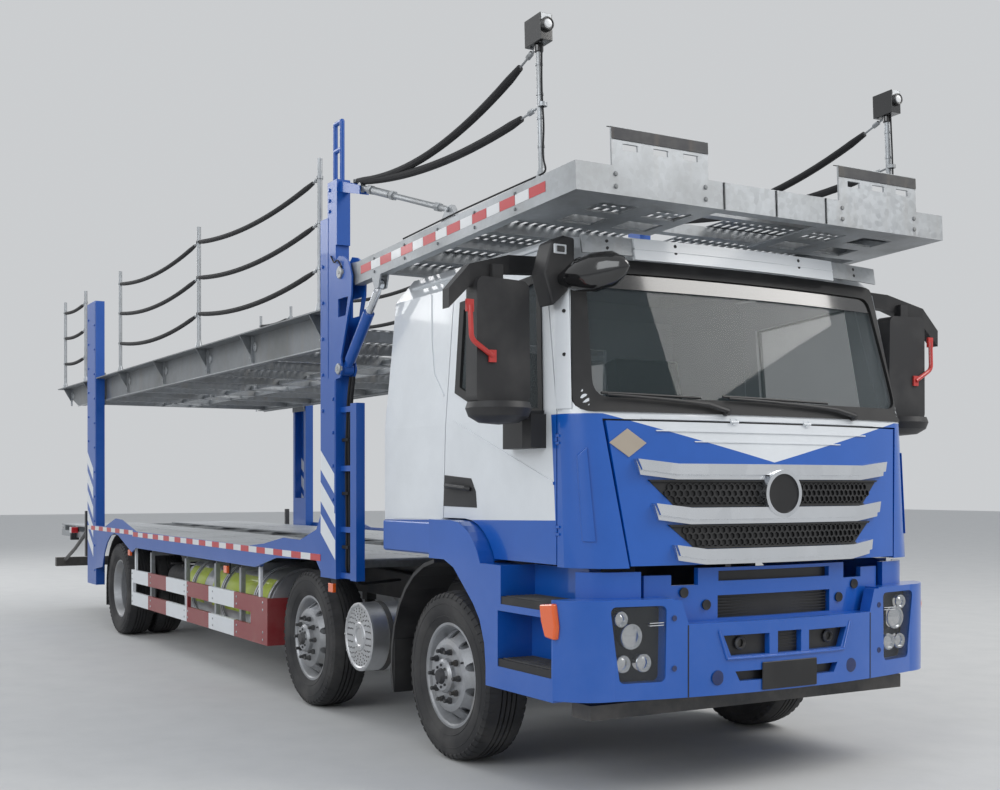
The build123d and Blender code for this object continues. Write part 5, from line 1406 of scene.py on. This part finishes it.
# %% Guard hangers and bolts
hangers = bmesh.new()
for x in (-1.55, -0.42, 0.42, 1.05):
    block(hangers, (x - 0.022, x + 0.022), (1.165, 1.204), (0.36, 0.90))
    block(hangers, (x - 0.004, x + 0.004), (0.44, 1.19), (0.87, 0.93))
    for z in (0.415, 0.64):
        rod(hangers, (x, 1.150, z), (x, 1.166, z), 0.014, 6)
piece("guard_hangers", hangers, LOOKS["zinc"], "chassis", both=True, bevel=0.002)
bolts = bmesh.new()
for x in (-2.12, -1.45, -0.35, -0.25, 0.45, 1.05, 1.65):
    for z in (0.387, 0.443, 0.612, 0.668):
        lathe(bolts, [(0, 0), (0, 0.010), (0.004, 0.007), (0.005, 0)], (x, 1.235, z), (x, 2, z), 12)
piece("guard_bolts", bolts, LOOKS["zinc"], "chassis", both=True)

# %% [markdown]
# The silencer's face is a turned plate with two rings of bolts and five rings of vent holes. The holes
# are dark discs on the plate, painted shade in place of the openings, because cut holes would cost many
# faces for the same look.

# %% Silencer face, vents and bands
CAN = (3.34, -1.195, 0.58)
FACE_PROFILE = [(0, 0.219), (0.010, 0.219), (0.014, 0.212), (0.014, 0.199), (0.007, 0.190), (0.007, 0.095),
                (0.012, 0.088), (0.012, 0.060), (0.005, 0.052), (0.005, 0)]


def peg(radius, low, high, size, cap=0.0):
    """A short six-sided rod that stands out of the silencer's face."""
    return lambda bm: rod(bm, (radius, low, 0), (radius, high, 0), size, 6, cap)


face = bmesh.new()
lathe(face, FACE_PROFILE, CAN, (CAN[0], -2, CAN[2]), 64)
for radius, low, size, count in ((0.206, 0.014, 0.006, 12), (0.074, 0.012, 0.006, 6)):
    repeat(face, RING, peg(radius, 0, -low - 0.005, size, 0.001), count, CAN, (0, 2 * pi / count, 0))
piece("silencer_face", face, LOOKS["alloy"], "chassis")
# dark steel discs: painted shade where the vent holes are
vents = bmesh.new()
for radius, count in ((0.110, 16), (0.128, 18), (0.146, 22), (0.164, 24), (0.181, 28)):
    repeat(vents, RING, peg(radius, -0.004, -0.0085, 0.0058), count, CAN, (0, 2 * pi / count, 0))
piece("silencer_vents", vents, LOOKS["steel"], "chassis")
clamps = bmesh.new()
hoop = [(0, 0.2205), (0, 0.225), (0.035, 0.225), (0.035, 0.2205)]
for y in (-1.09, -0.78):
    lathe(clamps, hoop, (CAN[0], y, CAN[2]), (CAN[0], 0, CAN[2]), 48)
pipe = [(3.34, -0.66, 0.58), (3.34, -0.56, 0.58), (3.5, -0.52, 0.70), (4.0, -0.50, 0.76)]
sweep(clamps, bend(pipe, 0.08), 0.055, 14)
piece("silencer_bands", clamps, LOOKS["steel"], "chassis")

# %% [markdown]
# ## Decks: pierced floors, ropes and hardware
#
# Both car floors overhead are pierced plates, and daylight shows through them. One tile with one slot
# is repeated along and across, then its seams are welded. The decks' hardware follows: ropes in black
# sleeves between the poles, stays, pole heads and the plates that stop a car.

# %% Pierced floors
def pierced(bm, x, y, z, pitch, slot):
    """A plate with a slot in every tile, between two values of each axis."""
    along, across = round((x[1] - x[0]) / pitch[0]), round((y[1] - y[0]) / pitch[1])
    dx, dy = (x[1] - x[0]) / along, (y[1] - y[0]) / across

    def tile(small):
        """One tile: a top, a bottom and the four walls of its slot."""
        gap = [((dx - slot[0]) / 2, (dx + slot[0]) / 2), ((dy - slot[1]) / 2, (dy + slot[1]) / 2)]
        outer = [(0, 0), (dx, 0), (dx, dy), (0, dy)]
        inner = [(gap[0][i], gap[1][j]) for i, j in ((0, 0), (1, 0), (1, 1), (0, 1))]
        rings = [[small.verts.new((a, b, h)) for a, b in ring] for h in z for ring in (outer, inner)]
        for i in range(4):
            j = (i + 1) % 4
            for a, b in ((0, 1), (2, 3), (1, 3)):
                small.faces.new((rings[a][i], rings[a][j], rings[b][j], rings[b][i]))

    strip_mesh = bmesh.new()
    repeat(strip_mesh, ROW, tile, along, (x[0], y[0], 0), (dx, 0, 0))
    copy = bpy.data.meshes.new("row")
    strip_mesh.to_mesh(copy)
    strip_mesh.free()
    repeat(bm, ROW, lambda small: small.from_mesh(copy), across, (0, 0, 0), (0, dy, 0))
    bpy.data.meshes.remove(copy)
    bmesh.ops.remove_doubles(bm, verts=bm.verts[:], dist=0.0002)
    edge = 0.004
    whole = (x[0] - edge, x[1] + edge)
    for a, b in (((x[0] - edge, x[0]), y), ((x[1], x[1] + edge), y), (whole, (y[0] - edge, y[0])),
                 (whole, (y[1], y[1] + edge))):
        block(bm, a, b, z)


UPPER_FLOOR = ((-4.896, 3.074), (0.204, 1.076), (2.5915, 2.595))
CAB_FLOOR = ((0.034, 2.456), (0.154, 1.176), (-0.0135, -0.0100))
floor_plates = bmesh.new()
pierced(floor_plates, *UPPER_FLOOR, (0.115, 0.062), (0.085, 0.030))
piece("upper_floor_pierced", floor_plates, LOOKS["zinc_bright"], "lifting_deck", both=True,
      replaces=("upper_floor",), smooth=0)
floor_plates = bmesh.new()
pierced(floor_plates, *CAB_FLOOR, (0.110, 0.060), (0.070, 0.026))
on_deck(floor_plates)
piece("cab_deck_floor_pierced", floor_plates, LOOKS["zinc"], "over_cab_deck", both=True,
      replaces=("cab_deck_floor",), smooth=0)

# %% [markdown]
# The lower floor is a closed tread plate. Its cross ribs are only four millimetres high, but they are
# what the eye reads as a tread plate, so they are real and grown by the row tree.

# %% Lower floor
RIB_COUNT, RIB_PITCH = 74, 0.122


def rib(bm):
    """A low ridge across one half of the floor."""
    prism(bm, [(-0.010, 0), (-0.004, 0.004), (0.004, 0.004), (0.010, 0)], "y", 0.24, 1.15)


ribs = bmesh.new()
repeat(ribs, ROW, rib, RIB_COUNT, (-5.70, 0, 1.0735), (RIB_PITCH, 0, 0))
piece("lower_floor_ribs", ribs, LOOKS["zinc_bright"], "chassis", both=True, smooth=0)
boards = bmesh.new()
for y in ((0.24, 0.66), (0.69, 1.15)):
    block(boards, (-5.72, 3.30), y, (1.073, 1.0765))
piece("lower_floor_sheets", boards, LOOKS["zinc_bright"], "chassis", both=True, smooth=0)

# %% [markdown]
# Ropes run between the poles as a railing. Each hangs in a shallow parabola, close to the true curve of
# a rope that is nearly taut. A thick sleeve covers it up to a short bare end with a snap hook.

# %% Ropes in sleeves between the poles, with a snap hook at the front end
POLE_XS, POLE_Y, ROPE_ZS = (-5.19, -4.12, -2.56, 0.10, 2.78), 1.240, (3.64, 3.335, 3.025)
ROPE_STEPS, BARE_END = 22, 0.16


def hung(a, b, sag):
    """Points along a rope that hangs between two ends."""
    a, b = Vector(a), Vector(b)
    path = []
    for i in range(ROPE_STEPS + 1):
        t = i / ROPE_STEPS
        point = a.lerp(b, t)
        point.z -= 4 * sag * t * (1 - t)
        path.append(point)
    return path


def rope(bm, hooks, a, b, sag, thick=0.019):
    """A sleeved rope from a to b, with its hook at b."""
    path = hung(a, b, sag)
    length = (Vector(b) - Vector(a)).length
    sleeve = path[:-max(1, round(BARE_END / length * ROPE_STEPS))]
    sizes = [thick * (0.75 if i in (0, len(sleeve) - 1) else 1.0) for i in range(len(sleeve))]
    sweep(bm, sleeve, sizes, 10)
    sweep(hooks, path[len(sleeve) - 1:], 0.006, 8)
    near = path[len(sleeve) - 1].lerp(path[-1], 0.35)
    rod(hooks, near, near.lerp(path[-1], 0.35), 0.014, 8, 0.004)
    for end in (path[0], path[-1]):
        lathe(hooks, [(-0.010, 0.0172), (-0.010, 0.023), (0.010, 0.023), (0.010, 0.0172)], end,
              (end.x, end.y, end.z + 1), 14)


ropes, hooks = bmesh.new(), bmesh.new()
for low, high, sag in ((0, 1, 0.030), (2, 3, 0.085), (3, 4, 0.085)):
    for z in ROPE_ZS:
        rope(ropes, hooks, (POLE_XS[low], POLE_Y, z), (POLE_XS[high], POLE_Y, z), sag)
piece("deck_ropes", ropes, LOOKS["rope"], "lifting_deck", both=True)
piece("deck_rope_hooks", hooks, LOOKS["zinc"], "lifting_deck", both=True)

# %% [markdown]
# Two longer ropes go from each post to the pole over the cab.

# %% Long ropes over the cab
POST_HOOK = (3.335, 1.215, 3.505)
for side, sign in (("left", 1), ("right", -1)):
    long_ropes, hooks = bmesh.new(), bmesh.new()
    a = (POST_HOOK[0], sign * POST_HOOK[1], POST_HOOK[2])
    for x, z, sag in ((5.545, 3.745, 0.16), (5.558, 3.43, 0.09)):
        rope(long_ropes, hooks, a, (x, sign * 1.216, z), sag, 0.023)
    for name, bm, look in (("ropes", long_ropes, "rope"), ("hooks", hooks, "zinc")):
        made = piece(f"long_{name}_{side}", bm, LOOKS[look], None)
        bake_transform(made)

# %% [markdown]
# Each pole over the cab ends in a lamp, with a wire clipped down its side. These pieces are drawn on a
# level deck first and then turned to its tilt, because level numbers are easier to read off.

# %% Pole lamps, wires and clips
POLE_U, POLE_SIDE = 2.182, 1.216
heads, lenses, wires, caps = bmesh.new(), bmesh.new(), bmesh.new(), bmesh.new()
block(heads, (2.108, 2.256), (1.180, 1.252), (0.668, 0.803))
rod(heads, (POLE_U, POLE_SIDE, 0.630), (POLE_U, POLE_SIDE, 0.670), 0.024, 14, 0.004)
lathe(heads, [(0, 0), (0, 0.036), (0.020, 0.034), (0.024, 0.028), (0.016, 0.026), (0.016, 0)],
      (2.255, POLE_SIDE, 0.745), (3, POLE_SIDE, 0.745), 24)
lens = [(0, 0), (0, 0.0255), (0.006, 0.020), (0.009, 0)]
lathe(lenses, lens, (2.270, POLE_SIDE, 0.745), (3, POLE_SIDE, 0.745), 20)
wire = [(2.210, 1.216, 0.67), (2.208, 1.222, 0.45), (2.212, 1.216, 0.25), (2.206, 1.224, 0.10),
        (2.26, 1.235, 0.012), (2.0, 1.246, 0.010), (1.4, 1.246, 0.016), (0.7, 1.246, 0.010)]
sweep(wires, bend(wire, 0.05), 0.005, 8)
clip = [(-0.006, 0.0165), (-0.006, 0.019), (0.006, 0.019), (0.006, 0.0165)]
for z in (0.57, 0.42, 0.30, 0.16):
    lathe(caps, clip, (POLE_U, POLE_SIDE, z), (POLE_U, POLE_SIDE, 1), 14)
for bm in (heads, lenses, wires, caps):
    on_deck(bm)
piece("pole_lamps", heads, LOOKS["gloss_black"], "over_cab_deck", both=True, bevel=0.006)
piece("pole_lamp_glasses", lenses, LOOKS["tape_white"], "over_cab_deck", both=True)
piece("pole_wires", wires, LOOKS["rope"], "over_cab_deck", both=True)
piece("pole_clips", caps, LOOKS["zinc"], "over_cab_deck", both=True)

# %% [markdown]
# Two plates at the deck's front edge stop a car. Their upper edge is folded back into a lip, and bolts
# run along the frame on both sides.

# %% Stop plates and deck bolts
LIP = [(2.5305, 0.128), (2.5335, 0.128), (2.5335, 0.186), (2.492, 0.200), (2.490, 0.196), (2.5305, 0.184)]
lips, seams = bmesh.new(), bmesh.new()
prism(lips, LIP, "y", 0.449, 1.041)
for y in (0.47, 1.02):
    for z in (-0.10, -0.04):
        lathe(seams, [(0, 0), (0, 0.013), (0.006, 0.010), (0.007, 0)], (2.530, y, z), (3, y, z), 8)
for u in (0.30, 0.72, 1.14, 1.56, 1.98):
    for w in (-0.030, -0.110):
        lathe(seams, [(0, 0), (0, 0.010), (0.005, 0.008), (0.006, 0)], (u, DECK_Y, w), (u, 2, w), 8)
for y in (-0.35, 0.0, 0.35):
    block(seams, (2.528, 2.5345), (y - 0.004, y + 0.004), (-0.138, -0.002))
for bm in (lips, seams):
    on_deck(bm)
piece("stop_plate_lips", lips, LOOKS["steel"], "over_cab_deck", both=True, bevel=0.002)
piece("cab_deck_bolts", seams, LOOKS["zinc_dark"], "over_cab_deck", both=True)

# %% [markdown]
# A stay is tightened by a sleeve with a nut on each end, like a rigging screw. Rods set at shares of
# the stay's length keep them on its line.

# %% Screws on the stays
STAY_TOP, STAY_FOOT, STAY_LENGTH = (3.420, 1.2215, 3.447), (4.610, 1.2215, 3.085), 1.244
# share of the length where it starts, length, radius and count of sides
SLEEVES = [(0.10, 0.05, 0.030, 6), (0.16, 0.24, 0.024, 20), (0.37, 0.04, 0.030, 6), (0.86, 0.05, 0.027, 6)]
screws = bmesh.new()
a, b = Vector(STAY_TOP), Vector(STAY_FOOT)
for t, long, size, steps in SLEEVES:
    rod(screws, a.lerp(b, t), a.lerp(b, t + long / STAY_LENGTH), size, steps, 0.003)
for end in (a, b):
    rod(screws, (end.x, 1.192, end.z), (end.x, 1.251, end.z), 0.014, 12, 0.003)
piece("stay_screws", screws, LOOKS["zinc"], "over_cab_deck", both=True)

# %% [markdown]
# The lifting deck's beam carries seven round bosses with two bolts each, and a narrow edge strip under
# it. Below the floor run square tubes, which show from underneath.

# %% Bosses, beam edges and tubes of the lifting deck
BEAM_Y, BOSS_Z = 1.161, 2.635
BOSS = [(0, 0.036), (0.008, 0.036), (0.010, 0.030), (0.010, 0.014), (0.016, 0.012), (0.016, 0)]
BEAM_BOLT = [(0, 0), (0, 0.009), (0.004, 0.008), (0.006, 0)]
bosses, run = bmesh.new(), bmesh.new()
for x in (-5.19, -4.12, -2.56, -1.23, 0.10, 1.22, 2.65):
    lathe(bosses, BOSS, (x + 0.075, BEAM_Y, BOSS_Z), (x + 0.075, 2, BOSS_Z), 20)
    block(bosses, (x + 0.020, x + 0.026), (BEAM_Y, 1.182), (2.515, 2.722))
    for z in (2.56, 2.69):
        lathe(bosses, BEAM_BOLT, (x - 0.06, BEAM_Y, z), (x - 0.06, 2, z), 8)
block(run, (-4.86, 3.07), (1.155, 1.168), (2.496, 2.505))
piece("beam_bosses", bosses, LOOKS["zinc"], "lifting_deck", both=True)
piece("beam_edges", run, LOOKS["zinc"], "lifting_deck", both=True, bevel=0.002)
tubes = bmesh.new()
for y in (0.16, 1.115):
    block(tubes, (-4.84, 3.02), (y - 0.020, y + 0.020), (2.520, 2.560))
for x in (-4.2, -2.8, -1.4, 0.0, 1.4, 2.6):
    block(tubes, (x - 0.02, x + 0.02), (0.0, 0.22), (2.515, 2.545))
piece("deck_underside_tubes", tubes, LOOKS["zinc"], "lifting_deck", both=True, bevel=0.003)

# %% [markdown]
# ## A finer grille
#
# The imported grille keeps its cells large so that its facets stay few. Here the two bands get a floor
# of dark plastic with small six-sided cells over it, grown flat and then laid on the nose.

# %% Honeycomb bands and the plain disc
# lower and upper edge, then half the width at each of them
MESH_BANDS = [(1.445, 1.581, 0.640, 0.785), (1.240, 1.359, 0.545, 0.690)]
CELL, CELL_WEB, ROW_RISE = 0.036, 0.0045, 0.866


def hex_cell(bm):
    """One six-sided cell with a wall that narrows towards the front."""
    rings = []
    for depth in (0.002, 0.012):
        for radius in (CELL / 2, CELL / 2 - CELL_WEB):
            size = radius / cos(radians(30))
            rings.append([bm.verts.new((depth, size * sin(radians(60 * k)), size * cos(radians(60 * k))))
                          for k in range(6)])
    for k in range(6):
        j = (k + 1) % 6
        bm.faces.new((rings[2][k], rings[2][j], rings[3][j], rings[3][k]))
        bm.faces.new((rings[3][k], rings[3][j], rings[1][j], rings[1][k]))
        bm.faces.new((rings[0][k], rings[0][j], rings[2][j], rings[2][k]))


honeycomb = bmesh.new()
for low, high, bottom, top in MESH_BANDS:
    rise = CELL * ROW_RISE
    rows = int((high - low - CELL * 1.2) / rise) + 1
    for row in range(rows):
        z = (low + high) / 2 + (row - (rows - 1) / 2) * rise
        reach = bottom + (top - bottom) * (z - low) / (high - low) - CELL * 0.75
        count = int(2 * reach / CELL) // 2 * 2 + row % 2
        repeat(honeycomb, ROW, hex_cell, count, (0, -(count - 1) / 2 * CELL, z), (0, CELL, 0), "mesh")
for vertex in honeycomb.verts:
    vertex.co.x += front_x(vertex.co.y, vertex.co.z)
for low, high, bottom, top in MESH_BANDS:
    strip(honeycomb, ((-bottom, low), (bottom, low)), ((-top, high), (top, high)), 0.003, 0.001, 0.06)
    for a, b, c, d in ((bottom, low, bottom + 0.013, low + 0.010), (top - 0.011, high - 0.010, top, high)):
        strip(honeycomb, ((-a, b), (a, b)), ((-c, d), (c, d)), 0.014, 0.001, 0.06)
lathe(honeycomb, [(-0.06, 0.1015), (0.0, 0.1015), (0.0, 0.0)], (5.952, 0, 1.511), (6, 0, 1.511), 48)
piece("fine_grille", honeycomb, LOOKS["mesh"], "service_flap",
      replaces=("nose_grille",), smooth=30)

# %% [markdown]
# ## Posts, tail and hoses
#
# Pins show their heads, the rear posts their bolts, and hoses run down behind the front posts'
# ladders. The tail carries small lamps on dark posts.

# %% Pin heads, bolts and seams on the posts
heads = bmesh.new()
for x, z, size in ((3.208, 2.933, 0.040), (3.185, 2.310, 0.036)):
    profile = [(0, size), (0.010, size), (0.014, size - 0.005), (0.014, 0.012), (0.018, 0.010), (0.018, 0)]
    lathe(heads, profile, (x, SIDE_Y, z), (x, 2, z), 24)
    block(heads, (x - 0.055, x + 0.055), (1.2752, 1.280), (z - 0.014, z + 0.014))
piece("pin_heads", heads, LOOKS["zinc"], "chassis", both=True)


def small_bolt(bm):
    """A low round bolt head."""
    lathe(bm, [(0, 0.013), (0.007, 0.012), (0.009, 0.009), (0.009, 0)], (0, 0, 0), (0, 1, 0), 8)


# x, height of the lowest bolt, count and pitch
POST_BOLTS = [(-3.555, 0.62, 11, 0.27), (-3.835, 2.05, 6, 0.27), (3.088, 1.46, 4, 0.22),
              (3.03, 3.36, 3, 0.07), (2.915, 2.05, 5, 0.24)]
bolts = bmesh.new()
for x, z, count, step in POST_BOLTS:
    repeat(bolts, ROW, small_bolt, count, (x, SIDE_Y, z), (0, 0, step))
piece("post_bolts", bolts, LOOKS["post_blue"], "chassis", both=True)
seams = bmesh.new()
for x, low, high in ((3.115, 1.37, 2.24), (3.003, 2.26, 3.32), (-3.52, 1.15, 3.56)):
    block(seams, (x - 0.004, x + 0.004), (1.2745, 1.2775), (low, high))
block(seams, (-3.845, -3.535), (1.19, 1.27), (3.580, 3.586))
piece("post_seams", seams, LOOKS["post_blue"], "chassis", both=True)
# %% [markdown]
# Four hoses come down behind the front post's ladder, held by three clamps. Each path gets a slightly
# different middle, so that they don't look like one hose copied.

# %% Ladder hoses
hoses = bmesh.new()
for i, (x, y) in enumerate(((3.16, 1.205), (3.178, 1.222), (3.196, 1.200), (3.214, 1.218))):
    hose = [(x + 0.02, y - 0.02, 2.26), (x + 0.03, y, 2.12), (x - 0.006, y, 1.70 + 0.05 * i),
            (x + 0.012, y, 1.25), (x, y, 0.98), (x - 0.05, y - 0.10, 0.90), (x - 0.3, 0.70, 0.90)]
    sweep(hoses, bend(hose, 0.12), 0.0075, 8)
for z in (1.15, 1.50, 1.85):
    block(hoses, (3.135, 3.232), (1.190, 1.234), (z - 0.010, z + 0.010))
cable = [(3.06, 1.279, 3.06), (3.14, 1.290, 3.00), (3.20, 1.292, 3.02), (3.24, 1.279, 2.96)]
sweep(hoses, bend(cable, 0.05), 0.005, 8)
piece("ladder_hoses", hoses, LOOKS["rope"], "chassis", both=True)

# %% [markdown]
# The tail isn't seen in the photograph, so it stays simple: brackets and a slanting bar on each side,
# square red and clear lamps, and short lengths of red tape on the under-run bar.

# %% Tail brackets, lamps and tape
tail, red_lamps, clear_lamps = bmesh.new(), bmesh.new(), bmesh.new()
block(tail, (-4.21, -4.16), (1.19, 1.235), (0.74, 1.26))
sweep(tail, [(-4.30, 1.20, 1.00), (-4.9, 1.19, 0.80), (-5.93, 1.10, 0.60)], 0.022, 8)
block(tail, (-4.98, -4.92), (1.14, 1.235), (0.90, 0.98))
block(red_lamps, (-5.822, -5.808), (0.955, 1.045), (0.955, 1.045))
block(clear_lamps, (-5.822, -5.808), (1.055, 1.145), (0.955, 1.045))
block(red_lamps, (-4.90, -4.86), (1.150, 1.240), (0.985, 1.055))
block(clear_lamps, (-4.99, -4.905), (1.150, 1.240), (0.985, 1.055))
piece("tail_brackets", tail, LOOKS["frame"], "chassis", both=True, bevel=0.004)
piece("tail_lamps_red", red_lamps, LOOKS["tape_red"], "chassis", both=True, bevel=0.005)
piece("tail_lamps_clear", clear_lamps, LOOKS["tape_white"], "chassis", both=True, bevel=0.005)
rear_tape = bmesh.new()
repeat(rear_tape, ROW, lambda bm: block(bm, (-0.0015, 0), (0, 0.15), (-0.022, 0.022)), 4,
       (-6.0, 0.02, 0.585), (0, 0.30, 0))
piece("under_run_tape", rear_tape, LOOKS["tape_red"], "chassis", both=True, smooth=0)

# %% [markdown]
# Three lines run along each side member, and two air tanks hang beside it. Little of them shows, but
# without them the gap between frame and guards looks empty.

# %% Lines and air tanks on the frame
LINE_XZ = [(4.9, 0.93), (3.2, 0.90), (1.7, 0.94), (-1.6, 0.93), (-2.4, 0.90), (-3.6, 0.95)]
for name, side in (("left", 1), ("right", -1)):
    lines = bmesh.new()
    for i in range(3):
        y = side * (0.445 + 0.018 * i)
        sweep(lines, bend([(x, y, z) for x, z in LINE_XZ], 0.1), 0.008, 8)
    piece(f"frame_lines_{name}", lines, LOOKS["rope"], "chassis")
air = bmesh.new()
for y in (0.62, 0.90):
    rod(air, (-1.62, y, 0.66), (-0.98, y, 0.66), 0.125, 28, 0.03)
for x in (-1.48, -1.12):
    block(air, (x - 0.02, x + 0.02), (0.44, 1.02), (0.785, 0.80))
piece("air_tanks", air, LOOKS["steel"], "chassis", both=True)

# %% [markdown]
# ## Floor, light and camera
#
# A pale floor, an even world and three large lamps keep colours near their written values. The camera
# stands about 1.55 m high, ahead of the cab and to its right, where the photograph was taken.

# %% Floor
FLOOR_HALF = 60.0
ground = bmesh.new()
corners = [(-FLOOR_HALF, -FLOOR_HALF), (FLOOR_HALF, -FLOOR_HALF), (FLOOR_HALF, FLOOR_HALF),
           (-FLOOR_HALF, FLOOR_HALF)]
ground.faces.new([ground.verts.new((x, y, 0)) for x, y in corners])
floor_mesh = bpy.data.meshes.new("studio_floor")
ground.to_mesh(floor_mesh)
ground.free()
floor = bpy.data.objects.new("studio_floor", floor_mesh)
bpy.context.scene.collection.objects.link(floor)
floor_mesh.materials.append(finish("studio_floor", DUST, {"Color": (0.62, 0.62, 0.61, 1), "Amount": 0.05,
                                                          "Roughness": 0.8})[0])

# %% [markdown]
# The world is a soft sky that is a little brighter overhead. What the camera, a mirror or a pane sees
# of it is one pale grey, so the background stays plain without more light on the truck.

# %% World
HORIZON, ZENITH, BACKDROP = (0.50, 0.51, 0.52, 1), (0.80, 0.84, 0.90, 1), (0.83, 0.85, 0.87, 1)
SKY_STRENGTH = 0.72
world = bpy.data.worlds.new("studio")
bpy.context.scene.world = world
world.use_nodes = True
sky = world.node_tree
back = sky.nodes["Background"]
rays = node(sky, "LightPath").outputs
seen = math(sky, "MAXIMUM", rays["Is Camera Ray"], rays["Is Transmission Ray"], True)
seen = math(sky, "MAXIMUM", seen, rays["Is Glossy Ray"], True)
height = node(sky, "SeparateXYZ", Vector=node(sky, "TexCoord").outputs["Generated"]).outputs["Z"]
dome = mix(sky, spread(sky, height, -0.1, 0.6), HORIZON, ZENITH)
sky.links.new(mix(sky, seen, dome, BACKDROP), back.inputs["Color"])
back.inputs["Strength"].default_value = SKY_STRENGTH
print("sky strength:", SKY_STRENGTH)

# %% [markdown]
# A warm lamp from the front left shapes the truck, a cool one fills its right side, and a third from
# behind draws the edges. Large areas give soft shadows, as under a bright open sky.

# %% Lamps
def lamp(name, place, target, size, power, color=(1, 1, 1)):
    """A rectangular lamp that looks at a target."""
    data = bpy.data.lights.new(name, "AREA")
    data.shape, data.size, data.size_y = "RECTANGLE", size[0], size[1]
    data.energy, data.color = power, color
    made = bpy.data.objects.new(name, data)
    made.location = place
    made.rotation_euler = (Vector(target) - Vector(place)).to_track_quat("-Z", "Y").to_euler()
    bpy.context.scene.collection.objects.link(made)
    print(f"lamp {name}: {power} watts")


lamp("key", (13, 9, 13), (2, 0, 1.5), (9, 9), 1500, (1, 0.98, 0.95))
lamp("fill", (9, -16, 9), (1, 0, 1.5), (12, 9), 900, (0.95, 0.98, 1))
lamp("rim", (-14, -6, 10), (-2, 0, 2), (8, 8), 700)

# %% [markdown]
# The camera's place, turn and focal length were solved from the truck's own straight lines. The frame
# is moved by a lens shift instead of a tilt, so that the posts stay upright.

# %% Camera
CAMERA_PLACE, CAMERA_YAW, CAMERA_PITCH = (10.907, -4.615, 1.554), 149.579, -0.168
FOCAL_PIXELS, PHOTO_WIDTH, SENSOR = 1284.5, 1000.0, 36.0
LENS_SHIFT = (0.0025, 0.094)
optics = bpy.data.cameras.new("camera")
optics.sensor_width = SENSOR
optics.lens = FOCAL_PIXELS / PHOTO_WIDTH * SENSOR
optics.shift_x, optics.shift_y = LENS_SHIFT
optics.clip_end = 400
camera = bpy.data.objects.new("camera", optics)
camera.location = CAMERA_PLACE
camera.rotation_euler = (radians(90 + CAMERA_PITCH), 0, radians(CAMERA_YAW - 90))
bpy.context.scene.collection.objects.link(camera)
bpy.context.scene.camera = camera
bpy.context.scene.view_settings.view_transform = "Standard"
print("lens in mm:", round(optics.lens, 2))
